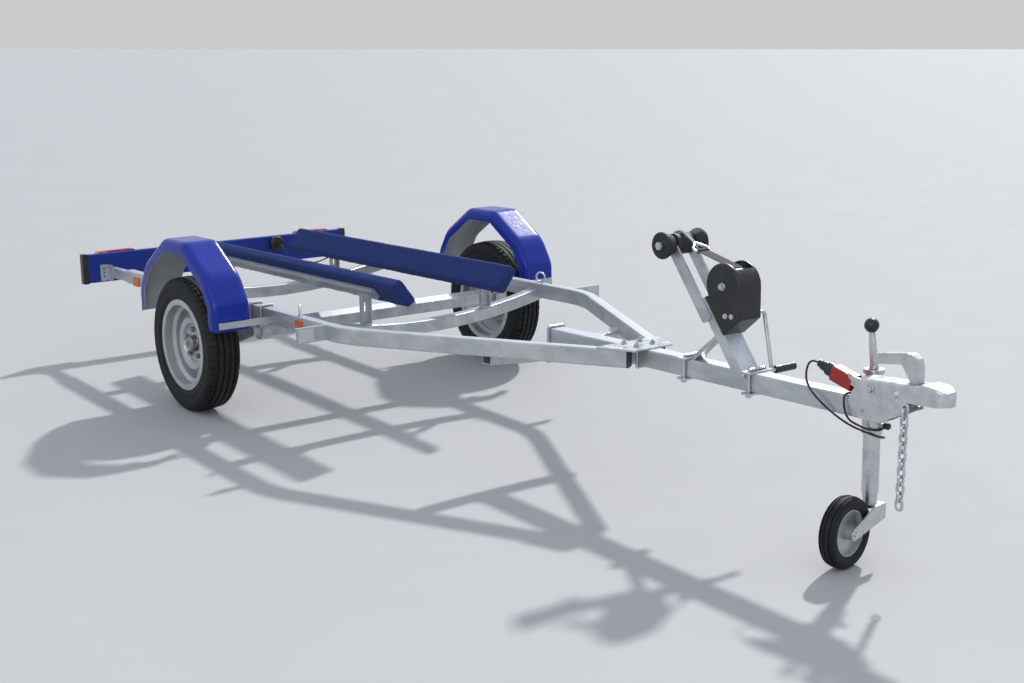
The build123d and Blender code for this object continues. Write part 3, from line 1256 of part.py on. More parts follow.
# Small wheel: solid rubber tyre on a pressed rim.
small_axis = Axis(hub, axle_way)
section = Plane(origin=hub, x_dir=axle_way, z_dir=trail_way)
updown = 1 if section.y_dir.Z > 0 else -1
half = SMALL_W / 2
crown_z = SMALL_R - SMALL_CROWN
edge = 19
edge_z = crown_z + (SMALL_CROWN ** 2 - edge ** 2) ** 0.5
with BuildPart() as jockey_tyre:
    with BuildSketch(section):
        with BuildLine():
            Polyline((edge, updown * edge_z), (half, updown * (edge_z - 8)), (half, updown * (SMALL_RIM_R + 10)),
                     (half - 5, updown * SMALL_RIM_R), (5 - half, updown * SMALL_RIM_R), (-half, updown * (SMALL_RIM_R + 10)),
                     (-half, updown * (edge_z - 8)), (-edge, updown * edge_z))
            ThreePointArc((-edge, updown * edge_z), (0, updown * SMALL_R), (edge, updown * edge_z))
        make_face()
    revolve(axis=small_axis)
keep(jockey_tyre.part, "jockey_tyre")

SMALL_DISC = 4
SMALL_HUB_R = 22
with BuildPart() as jockey_rim:
    with BuildSketch(section):
        rim_half = half - 5
        Polygon(*[(x, updown * z) for x, z in (
            (-rim_half, SMALL_RIM_R), (rim_half, SMALL_RIM_R), (rim_half, SMALL_RIM_R - 3), (SMALL_DISC, SMALL_RIM_R - 8),
            (SMALL_DISC, SMALL_HUB_R), (fork_in - RUN, SMALL_HUB_R - 4), (fork_in - RUN, AXLE_PIN_R + RUN),
            (RUN - fork_in, AXLE_PIN_R + RUN), (RUN - fork_in, SMALL_HUB_R - 4), (-SMALL_DISC, SMALL_HUB_R),
            (-SMALL_DISC, SMALL_RIM_R - 8), (-rim_half, SMALL_RIM_R - 3))], align=None)
    revolve(axis=small_axis)
keep(jockey_rim.part, "jockey_rim")

# Parking socket on a bracket at the coupling's tail, with the plug of the lamp cable in it.
SOCKET_MID = (2682, -18, 479)
SOCKET_DIP = 16
SOCKET_L = 76
SOCKET_SIDE = 46
PLUG_L = 50
PLUG_R = 18
PLUG_GRIP_R = 21
GLAND_L = 12
GLAND_R = 11
dip = radians(SOCKET_DIP)
plug_way = Vector(-cos(dip), 0, sin(dip))
mouth = Vector(*SOCKET_MID) + plug_way * (SOCKET_L / 2)
mouth_plane = Plane(origin=mouth, x_dir=(0, 1, 0), z_dir=plug_way)
with BuildPart() as park_socket:
    with BuildSketch(mouth_plane.offset(-SOCKET_L)):
        RectangleRounded(SOCKET_SIDE, SOCKET_SIDE, 8)
    extrude(amount=SOCKET_L)
    with BuildSketch(mouth_plane.offset(-SOCKET_L + 8)):
        Circle(PLUG_R + RUN)
    extrude(amount=SOCKET_L, mode=Mode.SUBTRACT)
keep(park_socket.part, "park_socket")

PLUG_IN_L = 40
with BuildPart() as plug:
    with BuildSketch(mouth_plane.offset(-PLUG_IN_L)):
        Circle(PLUG_R)
    extrude(amount=PLUG_IN_L)
    with BuildSketch(mouth_plane):
        Circle(PLUG_GRIP_R)
    extrude(amount=PLUG_L * 0.5)
    with BuildSketch(mouth_plane.offset(PLUG_L * 0.5)):
        Circle(PLUG_R - 2)
    with BuildSketch(mouth_plane.offset(PLUG_L)):
        Circle(GLAND_R + 3)
    loft()
    with BuildSketch(mouth_plane.offset(PLUG_L)):
        Circle(GLAND_R)
    extrude(amount=GLAND_L)
keep(plug.part, "plug")

# Bracket from the coupling's rear bolt to the socket.
BRACKET_Y = -COUPLER_W / 2
socket_end = Vector(*SOCKET_MID) - plug_way * (SOCKET_L / 2)
with BuildPart() as socket_bracket:
    add(flat(((2709, 503), (2730, 497), (2800, 478), (2800, 456), (2772, 454), (2716, 470)), BRACKET_Y - 3, BRACKET_Y))
    add(park_socket.part, mode=Mode.SUBTRACT)
    with BuildSketch(Plane.XZ.offset(-BRACKET_Y - 1)):
        with Locations(CROSS_BOLTS[0]):
            Circle(BOLT_HEAD_R + RUN)
    extrude(amount=5, mode=Mode.SUBTRACT)
with BuildPart() as coupler_plates:
    add(side_plates.part)
    add(coupler_bolts.part)
    add(socket_bracket.part)
keep(coupler_plates.part, "coupler_plates")

def tube_path(points):
    """Straight runs through the points, joined by arcs as large as the shorter run beside each allows."""
    spots = [Vector(*point) for point in points]
    radii = []
    for before, here, after in zip(spots, spots[1:], spots[2:]):
        bend = radians((here - before).get_angle(after - here))
        run = min((here - before).length, (after - here).length)
        radii.append(RUN_SHARE * run / tan(bend / 2))
    with BuildLine() as line:
        FilletPolyline(*spots, radius=radii)
    return line.wire(), radii


# Lamp cable: a limp loop from the plug, over the front of the jockey tube, round behind it and back over
# the front, then up the drawbar's side to a grommet on its top. The lead runs from the board to a rail.
RUN_SHARE = 0.45
CORD_R = 3.2
GROMMET_R = 7
GROMMET_L = 12
GROMMET_Z = 441
GROMMET = (2752, -6)
LEAD_END = (-985, 403)
cord_start = mouth + plug_way * (PLUG_L + GLAND_L)
CABLE = (cord_start + plug_way * 22, (2550.5, -25, 502.5), (2549, -34, 478), (2558, -41, 448), (2584, -44, 421),
         (2620, -44, 397), (2660, -38, 371), (2697, -13, 341), (2730, 26, 318), (2757, 56, 303), (2745, 94, 295),
         (2706, 102, 290), (2691, 105, 315), (2706, 102, 340), (2745, 94, 334), (2757, 56, 324), (2730, 26, 328),
         (2722, -4, 344), (2710, -36, 364), (2699, -41, 396), (2694, -39, GROMMET_Z), (2727, -6, GROMMET_Z))
LEAD = ((-1174, 300, 446), (-1160, 308, 424), (-1151, 330, 388), (-1139, 370, 362), (-1122, 414, 350),
        (-1099, 452, 352), (-1072, 482, 366), (-1042, 503, 384), (-1010, 509, 398), (LEAD_END[0], 521, LEAD_END[1]))
rail_in_y = RAIL_Y - RAIL_W / 2
lead_start = Vector(board_front_x + CONNECTOR_L + GLAND_OUT, CONNECTOR[0], LEAD_OUT_Z)
lead_stop = Vector(LEAD_END[0], rail_in_y - GROMMET_L / 2, LEAD_END[1])
ROUTES = {"cable": (cord_start, *CABLE, (*GROMMET, GROMMET_Z)), "lamp_lead": (lead_start, *LEAD, lead_stop)}
for label, points in ROUTES.items():
    path, bend_radii = tube_path([tuple(Vector(*point)) for point in points])
    with BuildPart() as cord:
        with BuildSketch(Plane(origin=path @ 0, z_dir=path % 0)):
            RegularPolygon(CORD_R, 8)
        sweep(path=path)
    keep(cord.part, label)
    section = 2 * 2 ** 0.5 * CORD_R ** 2
    print(label, "length", round(path.length), "volume", round(cord.part.volume), "of", round(section * path.length),
          "radii", [round(radius) for radius in bend_radii])

# Grommets: on the drawbar's top in the coupling's tail, and in the left rail's inner side.
with BuildPart() as grommets:
    with BuildSketch(Plane.YZ.offset(GROMMET[0])):
        with Locations((GROMMET[1], GROMMET_Z)):
            Circle(GROMMET_R)
        with Locations((GROMMET[1], RAIL_TOP)):
            Rectangle(2 * GROMMET_R, GROMMET_Z - RAIL_TOP, align=(Align.CENTER, Align.MIN))
    extrude(amount=GROMMET_L)
    with BuildSketch(Plane.XZ.offset(-rail_in_y)):
        with Locations(LEAD_END):
            Circle(GROMMET_R)
    extrude(amount=GROMMET_L / 2)
keep(grommets.part, "grommets")

# Safety chain, hanging plumb from the right-hand plate's lug, each link a quarter turn from the last.
LINKS = 12
LINK_ROD_R = 4
LINK_IN_L = 24
LINK_IN_W = 12
lug = PARKED * Pos(CHAIN_HOLE[0], -BAR / 2 - SIDE_PLATE_T / 2, CHAIN_HOLE[1])
link_r = LINK_IN_W / 2 + LINK_ROD_R
half_straight = (LINK_IN_L - LINK_IN_W) / 2
first_z = lug.position.Z - CHAIN_HOLE_R + 2 * RUN - LINK_IN_L / 2
links = []
for number in range(LINKS):
    middle = Vector(lug.position.X, lug.position.Y, first_z - number * (LINK_IN_L - RUN))
    across, facing = ((0, 1, 0), (1, 0, 0)) if number % 2 == 0 else ((1, 0, 0), (0, -1, 0))
    with BuildPart() as link:
        with BuildLine(Plane(origin=middle, x_dir=across, z_dir=facing)) as loop:
            Line((link_r, -half_straight), (link_r, half_straight))
            ThreePointArc((link_r, half_straight), (0, half_straight + link_r), (-link_r, half_straight))
            Line((-link_r, half_straight), (-link_r, -half_straight))
            ThreePointArc((-link_r, -half_straight), (0, -half_straight - link_r), (link_r, -half_straight))
        with BuildSketch(Plane(origin=loop.line @ 0, z_dir=loop.line % 0)):
            RegularPolygon(LINK_ROD_R, 8)
        sweep(path=loop.line)
    links.append(link.part)
keep(Compound(links), "safety_chain", Pos(0, 0, 0))
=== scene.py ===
from math import cos, pi, radians, sin, sqrt, tan

import bmesh
import bpy
from mathutils import Matrix, Vector, noise


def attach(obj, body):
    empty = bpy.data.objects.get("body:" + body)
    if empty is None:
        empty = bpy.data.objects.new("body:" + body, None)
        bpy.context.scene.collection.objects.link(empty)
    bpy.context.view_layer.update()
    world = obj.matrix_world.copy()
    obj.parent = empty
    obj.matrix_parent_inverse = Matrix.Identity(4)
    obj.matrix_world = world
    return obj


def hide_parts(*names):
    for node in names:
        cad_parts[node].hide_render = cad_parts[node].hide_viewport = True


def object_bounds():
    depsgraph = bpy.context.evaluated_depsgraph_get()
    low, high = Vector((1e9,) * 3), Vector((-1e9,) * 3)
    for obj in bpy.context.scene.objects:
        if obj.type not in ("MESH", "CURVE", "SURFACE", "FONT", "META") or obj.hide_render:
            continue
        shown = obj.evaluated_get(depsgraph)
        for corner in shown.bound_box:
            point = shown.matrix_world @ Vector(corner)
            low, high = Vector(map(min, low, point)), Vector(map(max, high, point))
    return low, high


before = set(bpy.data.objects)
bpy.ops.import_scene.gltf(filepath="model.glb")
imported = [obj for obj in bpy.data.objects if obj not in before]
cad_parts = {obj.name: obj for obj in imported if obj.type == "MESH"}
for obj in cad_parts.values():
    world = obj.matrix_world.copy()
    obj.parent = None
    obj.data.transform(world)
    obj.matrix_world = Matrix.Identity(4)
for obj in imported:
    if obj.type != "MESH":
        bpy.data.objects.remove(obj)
cad_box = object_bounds()

# The trailer is described level and in metres, with x = 0 over the wheel axle and z = 0 under the tyres.
# It is then leaned back about the axle onto its jockey wheel, and its length is centred.
NOSE_UP = radians(1.4)
MIDDLE_X = 0.862
WHEEL_R = 0.270
parked = (Matrix.Translation((-MIDDLE_X, 0, WHEEL_R)) @ Matrix.Rotation(-NOSE_UP, 4, "Y")
          @ Matrix.Translation((0, 0, -WHEEL_R)))


# Camera: the photograph's place and angle, worked out from the wheels, the frame and the drawbar. Both
# are given beside the level trailer, and the camera is leaned with it.
EYE = (5.3627, -3.2876, 1.4414)
YAW, PITCH, ROLL = radians(52.3621), radians(11.5533), radians(-0.8565)
ahead = Vector((-sin(YAW) * cos(PITCH), cos(YAW) * cos(PITCH), -sin(PITCH)))
level = Vector((cos(YAW), sin(YAW), 0))
upright = level.cross(ahead)
across = level * cos(ROLL) + upright * sin(ROLL)
upright = upright * cos(ROLL) - level * sin(ROLL)
camera = bpy.data.objects.new("camera", bpy.data.cameras.new("camera"))
camera.data.lens = 51.97
camera.data.clip_end = 60
turned_way = Matrix((across, upright, -ahead)).transposed().to_4x4()
camera.matrix_world = parked @ Matrix.Translation(EYE) @ turned_way
scene = bpy.context.scene
scene.collection.objects.link(camera)
scene.camera = camera
scene.view_settings.view_transform = "Standard"


# Cords: the lamp cable goes from its plug round the jockey tube and back, and up the drawbar to a grommet.
# The lamp lead goes from the board's connector to the left rail. Both are limp, round, black PVC with a
# soft sheen, dust that dulls it, and the faint lie of the cores inside.
class Wire:
    """One value in a material's nodes. Arithmetic on it adds the node that does the sum."""

    def __init__(self, tree, out):
        self.tree, self.out = tree, out

    def make(self, kind, *values, **named):
        """Adds a node. Plain values fill its first inputs, capitalised names the inputs they name, and
        the other names set its properties."""
        node = self.tree.nodes.new(kind)
        for name, value in named.items():
            if name[0].islower():
                setattr(node, name, value)
        filled = list(zip(node.inputs, values))
        filled += [(node.inputs[n.replace("_", " ")], v) for n, v in named.items() if n[0].isupper()]
        for slot, value in filled:
            if isinstance(value, Wire):
                self.tree.links.new(value.out, slot)
            else:
                slot.default_value = value
        return Wire(self.tree, node.outputs[0] if node.outputs else None)

    def other(self, name):
        return Wire(self.tree, self.out.node.outputs[name])

    def math(self, operation, value=0.0):
        return self.make("ShaderNodeMath", self, value, operation=operation)

    def __add__(self, value):
        return self.math("ADD", value)

    def __sub__(self, value):
        return self.math("SUBTRACT", value)

    def __mul__(self, value):
        return self.math("MULTIPLY", value)

    def __gt__(self, value):
        return self.math("GREATER_THAN", value)

    def between(self, low, high):
        return self.make("ShaderNodeMapRange", self, low, high, 0.0, 1.0)

    def blend(self, first, second):
        return self.make("ShaderNodeMixRGB", self, first, second)

    def noise(self, scale, detail=3.0, rough=0.6):
        return self.make("ShaderNodeTexNoise", Vector=self, Scale=scale, Detail=detail, Roughness=rough)

    def cells(self, scale):
        return self.make("ShaderNodeTexVoronoi", Vector=self, Scale=scale)

    def spread(self, x, y, z):
        return self.make("ShaderNodeMapping", Vector=self, Scale=(x, y, z))

    def finish(self, finish, colour, roughness, metallic=0.0, relief=None, depth=0.0003, **fixed):
        """Ends the material with its surface, bumped by relief where that is given."""
        surface = dict(fixed, Base_Color=colour, Roughness=roughness, Metallic=metallic)
        if relief is not None:
            surface["Normal"] = self.make("ShaderNodeBump", Height=relief, Distance=depth, Strength=1.0)
        shader = self.make("ShaderNodeBsdfPrincipled", **surface)
        self.make("ShaderNodeOutputMaterial", shader)


def begin(name):
    """An empty material, and the Object coordinates on whatever wears it."""
    finish = bpy.data.materials.new(name)
    finish.use_nodes = True
    finish.node_tree.nodes.clear()
    place = finish.node_tree.nodes.new("ShaderNodeTexCoord")
    return finish, Wire(finish.node_tree, place.outputs["Object"])


cord_black, place = begin("cord_black")
dust = place.noise(55.0).between(0.35, 0.75)
colour = dust.blend((0.008, 0.008, 0.009, 1), (0.022, 0.022, 0.023, 1))
place.finish(cord_black, colour, dust * 0.2 + 0.34, relief=place.noise(420.0), depth=0.0002)
CORD_R = 0.0032
routes = {
    "cable_line": [
        (2.752, -0.006, 0.441), (2.727, -0.006, 0.441), (2.694, -0.039, 0.441), (2.699, -0.041, 0.396),
        (2.710, -0.036, 0.364), (2.722, -0.004, 0.344), (2.730, 0.026, 0.328), (2.757, 0.056, 0.324),
        (2.745, 0.094, 0.334), (2.706, 0.102, 0.340), (2.691, 0.105, 0.315), (2.706, 0.102, 0.290),
        (2.745, 0.094, 0.295), (2.757, 0.056, 0.303), (2.730, 0.026, 0.318), (2.697, -0.013, 0.341),
        (2.660, -0.038, 0.371), (2.620, -0.044, 0.397), (2.584, -0.044, 0.421), (2.558, -0.041, 0.448),
        (2.549, -0.034, 0.478), (2.5505, -0.025, 0.5025), (2.5647, -0.018, 0.5126),
        (2.5859, -0.018, 0.5066)],
    "lamp_lead_line": [
        (-1.199, 0.300, 0.446), (-1.174, 0.300, 0.446), (-1.160, 0.308, 0.424), (-1.151, 0.330, 0.388),
        (-1.139, 0.370, 0.362), (-1.122, 0.414, 0.350), (-1.099, 0.452, 0.352), (-1.072, 0.482, 0.366),
        (-1.042, 0.503, 0.384), (-1.010, 0.509, 0.398), (-0.985, 0.521, 0.403), (-0.985, 0.547, 0.403)]}
cords = {}
for name, route in routes.items():
    curve = bpy.data.curves.new(name, "CURVE")
    curve.dimensions = "3D"
    spline = curve.splines.new("NURBS")
    spline.points.add(len(route) - 1)
    for point, spot in zip(spline.points, route):
        point.co = (*(parked @ Vector(spot)), 1)
    spline.order_u = 3
    spline.use_endpoint_u = True
    spline.resolution_u = 12
    curve.bevel_depth = CORD_R
    curve.bevel_resolution = 3
    curve.use_fill_caps = True
    curve.materials.append(cord_black)
    cords[name] = bpy.data.objects.new(name, curve)
    scene.collection.objects.link(cords[name])
    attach(cords[name], "frame")
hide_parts("cable")
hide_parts("lamp_lead")


# Frame: rectangular steel tube, cut, bent, welded and then hot-dip galvanised as a whole. The zinc is matt
# grey, in spangles of about a centimetre, with paler drips and darker smears along the tubes.
def dress(finish, *names):
    """Gives CAD nodes a finish."""
    for name in names:
        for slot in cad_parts[name].material_slots:
            slot.material = finish


galvanised, place = begin("galvanised")
spangle = place.cells(95.0).other("Color").noise(1.0) * 0.5 + place.cells(160.0).between(0.0, 0.7) * 0.5
smear = place.spread(3.0, 9.0, 9.0).noise(1.6, 5.0).between(0.36, 0.68)
tone = spangle * 0.35 + smear * 0.65
colour = tone.blend((0.36, 0.375, 0.395, 1), (0.62, 0.64, 0.67, 1))
stain = place.noise(7.0, 6.0, 0.7).between(0.62, 0.78) * 0.35
colour = stain.blend(colour, (0.24, 0.25, 0.26, 1))
relief = place.noise(26.0, 2.0) * 0.7 + spangle * 0.3
place.finish(galvanised, colour, tone * -0.16 + 0.5, 0.72, relief, 0.0004)
dress(galvanised, "rail_right", "rail_left", "cross_bows", "drawbar", "axle", "axle_seats", "side_brackets",
      "bunk_frames", "board_arms", "winch_post", "roller_arms")


# Bolts, plates, coupling, chain and jockey wheel's metal: steel parts plated with bright zinc before they
# are bolted on. The plating is cleaner and smoother than the frame's, with fine scratches.
bright_zinc, place = begin("bright_zinc")
haze = place.noise(34.0, 4.0).between(0.3, 0.72)
scratch = place.spread(12.0, 12.0, 160.0).noise(9.0, 2.0).between(0.66, 0.72)
colour = haze.blend((0.50, 0.51, 0.52, 1), (0.68, 0.69, 0.70, 1))
place.finish(bright_zinc, colour, haze * 0.16 + scratch * 0.1 + 0.24, 0.9, place.noise(60.0, 2.0), 0.00015)
dress(bright_zinc, "drawbar_plates", "drawbar_bolts", "tie_rings", "crank", "snap_hook", "coupler_plates",
      "coupler", "coupler_lever", "jockey_clamp", "safety_chain", "jockey_tube", "jockey_handle",
      "jockey_leg", "jockey_fork")


# Rims and hubs: pressed steel rims in a fine metallic paint, duller where brake dust and road film settle,
# bolted to hubs of darker turned steel with a little grease at the middle.
wheel_silver, place = begin("wheel_silver")
film = place.noise(11.0, 5.0, 0.65).between(0.42, 0.8)
fleck = place.cells(1600.0) * 0.25
colour = film.blend((0.47, 0.48, 0.50, 1), (0.36, 0.355, 0.35, 1))
place.finish(wheel_silver, colour, film * 0.22 + fleck * 0.2 + 0.3, 0.65, place.noise(90.0), 0.00012,
             Coat_Weight=0.25)
dress(wheel_silver, "rim_right", "rim_left", "jockey_rim")

hub_steel, place = begin("hub_steel")
grease = place.noise(38.0, 4.0).between(0.45, 0.7)
colour = grease.blend((0.34, 0.34, 0.345, 1), (0.14, 0.135, 0.13, 1))
place.finish(hub_steel, colour, grease * 0.2 + 0.3, 0.85, place.noise(150.0), 0.0001)
dress(hub_steel, "hub_right", "hub_left")


# Tyres: moulded black rubber, finely pitted and paler with road dust. The road tyres have four grooves
# round the tread, notched shoulder blocks and fine ribs on the walls, and are seated on their rims by
# pressure. The jockey wheel's tyre is solid, pressed on its rim, with three plain grooves.
def swept(mesh, rings, closed=False):
    """Faces between rings of vertices, each ring a closed loop."""
    for first, second in zip(rings, rings[1:] + (rings[:1] if closed else [])):
        for k in range(len(first)):
            mesh.faces.new((first[k], first[k - 1], second[k - 1], second[k]))


def finished(mesh, name, finish, body, sharp):
    """Makes a mesh a piece that rides a body, with edges sharper than an angle in degrees left crisp."""
    bmesh.ops.recalc_face_normals(mesh, faces=mesh.faces)
    bmesh.ops.transform(mesh, matrix=parked, verts=mesh.verts)
    data = bpy.data.meshes.new(name)
    mesh.to_mesh(data)
    mesh.free()
    data.shade_smooth()
    data.set_sharp_from_angle(angle=radians(sharp))
    data.materials.append(finish)
    piece = bpy.data.objects.new(name, data)
    scene.collection.objects.link(piece)
    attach(piece, body)
    return piece


def turned(name, centre, axle, profile, body, pitches, notch):
    """A tyre turned from its section. Marked points sink by the notch at the end of every pitch."""
    axle = Vector(axle).normalized()
    upward = Vector((0, 0, 1))
    forward = axle.cross(upward)
    mesh = bmesh.new()
    stations = []
    for k in range(pitches):
        stations += [(k, 0), (k + 0.70, 0), (k + 0.74, notch), (k + 0.96, notch)]
    rings = []
    for station, sunk in stations:
        way = 2 * pi * station / pitches
        out = upward * cos(way) + forward * sin(way)
        rings.append([mesh.verts.new(Vector(centre) + axle * b + out * (r - (sunk if cut else 0)))
                      for b, r, cut in profile])
    swept(mesh, rings, closed=True)
    return finished(mesh, name, tyre_rubber, body, 38)


tyre_rubber, place = begin("tyre_rubber")
dust = place.noise(14.0, 5.0, 0.7).between(0.4, 0.75)
colour = dust.blend((0.006, 0.006, 0.006, 1), (0.020, 0.019, 0.018, 1))
place.finish(tyre_rubber, colour, dust * 0.14 + 0.62, relief=place.noise(240.0, 2.0), depth=0.0003,
             Specular_IOR_Level=0.3)
dress(tyre_rubber, "tyre_right", "tyre_left", "jockey_tyre")
TRACK_Y = 0.748
wall = [(0.0575, 0.1650), (0.0575, 0.1835), (0.0615, 0.1890), (0.0638, 0.1960), (0.0652, 0.2010),
        (0.0662, 0.2020), (0.0664, 0.2050), (0.0660, 0.2060), (0.0672, 0.2160), (0.0675, 0.2240),
        (0.0671, 0.2340), (0.0676, 0.2350), (0.0672, 0.2385), (0.0664, 0.2395), (0.0659, 0.2430),
        (0.0635, 0.2520)]
shoulder = [(0.0600, 0.2585), (0.0560, 0.2630), (0.0525, 0.2658), (0.0430, 0.2672)]
tread = [(0.0400, 0.2675), (0.0392, 0.2612), (0.0342, 0.2614), (0.0334, 0.2682), (0.0160, 0.2696),
         (0.0152, 0.2635), (0.0098, 0.2636), (0.0090, 0.2698), (0.0, 0.2700)]
half_section = [(b, r, False) for b, r in wall] + [(b, r, True) for b, r in shoulder]
half_section += [(b, r, False) for b, r in tread]
section = half_section + [(-b, r, cut) for b, r, cut in reversed(half_section[:-1])]
for tag, side in (("right", -1), ("left", 1)):
    tyre = turned(f"tyre_tread_{tag}", (0, side * TRACK_Y, WHEEL_R), (0, 1, 0), section, f"wheel_{tag}",
                  60, 0.0045)
    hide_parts(f"tyre_{tag}")

SMALL_HUB = (2.7336, -0.06305, 0.04013)
SMALL_TURN = radians(7)
small_half = [(0.0200, 0.0680), (0.0250, 0.0780), (0.0250, 0.0945), (0.0243, 0.0975), (0.0222, 0.1006),
              (0.0190, 0.1037), (0.0162, 0.1047), (0.0156, 0.1020), (0.0128, 0.1022), (0.0122, 0.1056),
              (0.0045, 0.1068), (0.0040, 0.1042), (0.0, 0.1042)]
section = [(b, r, False) for b, r in small_half + [(-b, r) for b, r in reversed(small_half[:-1])]]
small_tyre = turned("jockey_tyre_grooved", SMALL_HUB, (cos(SMALL_TURN), sin(SMALL_TURN), 0), section,
                    "jockey_wheel", 30, 0.0)
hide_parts("jockey_tyre")


# Mudguards: one plastic moulding each, glossy blue outside and bare light grey inside. Each is an arch with
# soft bends, rounded edges, a narrow cheek on both sides and a shallow step across its ends, and is screwed
# through its ends to the flat bars.
GUARD_Y = 0.750
guard_blue, place = begin("guard_blue")
parts = place.make("ShaderNodeSeparateXYZ", place)
across_guard = parts.other("Y").math("ABSOLUTE") - GUARD_Y
middle = place.make("ShaderNodeCombineXYZ", parts + MIDDLE_X, 0.0, parts.other("Z") - 0.40)
normal = place.other("Normal")
flat_way = place.make("ShaderNodeVectorMath", middle, normal, operation="DOT_PRODUCT").other("Value")
normal_y = place.make("ShaderNodeSeparateXYZ", normal).other("Y") * parts.other("Y").math("SIGN")
outside = (flat_way + normal_y * across_guard) > 0.0
scuff = place.noise(9.0, 6.0, 0.7).between(0.55, 0.8)
blue = scuff.blend((0.002, 0.020, 0.27, 1), (0.004, 0.028, 0.31, 1))
grey = place.noise(21.0, 4.0).blend((0.34, 0.36, 0.38, 1), (0.46, 0.47, 0.48, 1))
colour = outside.blend(grey, blue)
rough = outside * -0.24 + scuff * 0.08 + 0.46
place.finish(guard_blue, colour, rough, relief=place.noise(48.0, 2.0), depth=0.0005,
             Coat_Weight=outside * 0.12, Specular_IOR_Level=0.28)
dress(guard_blue, "mudguard_right", "mudguard_left")


def rounded(corners, radii, steps=10):
    """The corners joined by straight lines, with each inner corner rounded."""
    line = [Vector(corners[0])]
    for before, corner, after, radius in zip(corners, corners[1:], corners[2:], radii):
        corner = Vector(corner)
        back, on = (Vector(before) - corner).normalized(), (Vector(after) - corner).normalized()
        half = back.angle(on) / 2
        reach = radius / tan(half)
        centre = corner + (back + on).normalized() * (radius / sin(half))
        first, last = corner + back * reach - centre, corner + on * reach - centre
        turn = pi - 2 * half
        for k in range(steps + 1):
            t = k / steps
            line.append(centre + (first * sin((1 - t) * turn) + last * sin(t * turn)) / sin(turn))
    line.append(Vector(corners[-1]))
    return line


FOOT_Z = 0.368
GUARD_WALL, LIP, EDGE, HALF_WIDE = 0.004, 0.050, 0.026, 0.080
STEP, STEP_RISE, STEP_RAMP, STEP_HALF = 0.004, 0.100, 0.012, 0.062
FOOT_R = 0.034
half_arch = [(0.337, FOOT_Z), (0.337, 0.468), (0.272, 0.573), (0.090, 0.690)]
bends = (0.100, 0.150, 0.075)
arch = rounded(half_arch + [(-x, z) for x, z in reversed(half_arch)], bends + bends[::-1])
line = []
for first, last in zip(arch, arch[1:]):
    pieces = max(1, round((last - first).length / 0.012))
    line += [first.lerp(last, k / pieces) for k in range(pieces)]
line.append(arch[-1])
outer = [(-HALF_WIDE, LIP)]
outer += [(-HALF_WIDE + EDGE * (1 - cos(k * pi / 16)), EDGE * (1 - sin(k * pi / 16))) for k in range(9)]
outer += [(b, 0.0) for b in (-0.040, -0.025, 0.0, 0.025, 0.040)]
outer += [(-b, d) for b, d in reversed(outer[:10])]
inner = [(b * (HALF_WIDE - GUARD_WALL) / HALF_WIDE, GUARD_WALL + d * (LIP - GUARD_WALL) / LIP)
         for b, d in outer]
for tag, side in (("right", -1), ("left", 1)):
    mesh = bmesh.new()
    rings = []
    for k, spot in enumerate(line):
        way = (line[min(k + 1, len(line) - 1)] - line[max(k - 1, 0)]).normalized()
        inward = Vector((-way.y, way.x))
        rise = spot.y - FOOT_Z
        step = STEP * min(1, max(0, (STEP_RISE - rise) / STEP_RAMP))
        trim = FOOT_R - sqrt(max(0.0, FOOT_R ** 2 - max(0.0, FOOT_R - rise) ** 2)) if rise < FOOT_R else 0.0
        ring = []
        for b, d in outer + inner[::-1]:
            depth = min(d, LIP - trim) + step * (1 if abs(b) < STEP_HALF else 0)
            point = spot + inward * depth
            ring.append(mesh.verts.new((point.x, side * GUARD_Y + b, point.y)))
        rings.append(ring)
    swept(mesh, rings)
    count = len(outer)
    for ring in (rings[0], rings[-1]):
        for k in range(count - 1):
            mesh.faces.new((ring[k], ring[k + 1], ring[2 * count - 2 - k], ring[2 * count - 1 - k]))
    guard = finished(mesh, f"mudguard_shell_{tag}", guard_blue, "frame", 35)
    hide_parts(f"mudguard_{tag}")


# Bunks: planks wrapped in looped carpet that is stapled underneath and tucked in at the ends. The pile is
# deep blue, with painted shade darkening the roots between the loops so the loop tips read lighter, and
# stands a little uneven.
carpet, place = begin("carpet")
loops = place.cells(230.0)
shade = place.noise(6.0, 5.0, 0.7).between(0.3, 0.75)
# Painted shade: the colour goes from lighter blue at the loop tips to dark navy at the roots, following the
# same cells as the pile's bump.
tip_light_root_shade = loops.between(0.1, 0.75).blend((0.010, 0.050, 0.27, 1), (0.002, 0.009, 0.06, 1))
colour = (shade * 0.45).blend(tip_light_root_shade, (0.004, 0.020, 0.13, 1))
place.finish(carpet, colour, place.noise(90.0) * 0.08 + 0.88, relief=loops * -1.0, depth=0.0016)
BUNK_LEAN = radians(52)
BUNK_WIDE, BUNK_THICK, BUNK_ROUND, LOOP_STEP = 0.114, 0.046, 0.012, 0.006
BUNK_START, BUNK_END, BUNK_Y, BUNK_Z = -0.915, 0.757, 0.244, 0.506
TUCK, TUCK_NEAR, TUCK_SHARE, STATIONS = 0.008, 0.003, 0.10, 270
corners = []
for corner, (a, b) in enumerate(((1, 1), (-1, 1), (-1, -1), (1, -1))):
    for k in range(4):
        angle = corner * pi / 2 + k * pi / 6
        corners.append((a * (BUNK_WIDE / 2 - BUNK_ROUND) + BUNK_ROUND * cos(angle),
                        b * (BUNK_THICK / 2 - BUNK_ROUND) + BUNK_ROUND * sin(angle)))
loop = []
for (a, b), (c, d) in zip(corners, corners[1:] + corners[:1]):
    pieces = max(1, round(((c - a) ** 2 + (d - b) ** 2) ** 0.5 / LOOP_STEP))
    loop += [(a + (c - a) * k / pieces, b + (d - b) * k / pieces) for k in range(pieces)]
length = BUNK_END - BUNK_START
stations = [0, TUCK_NEAR, TUCK] + [TUCK + (length - 2 * TUCK) * k / STATIONS for k in range(1, STATIONS)]
stations += [length - TUCK, length - TUCK_NEAR, length]
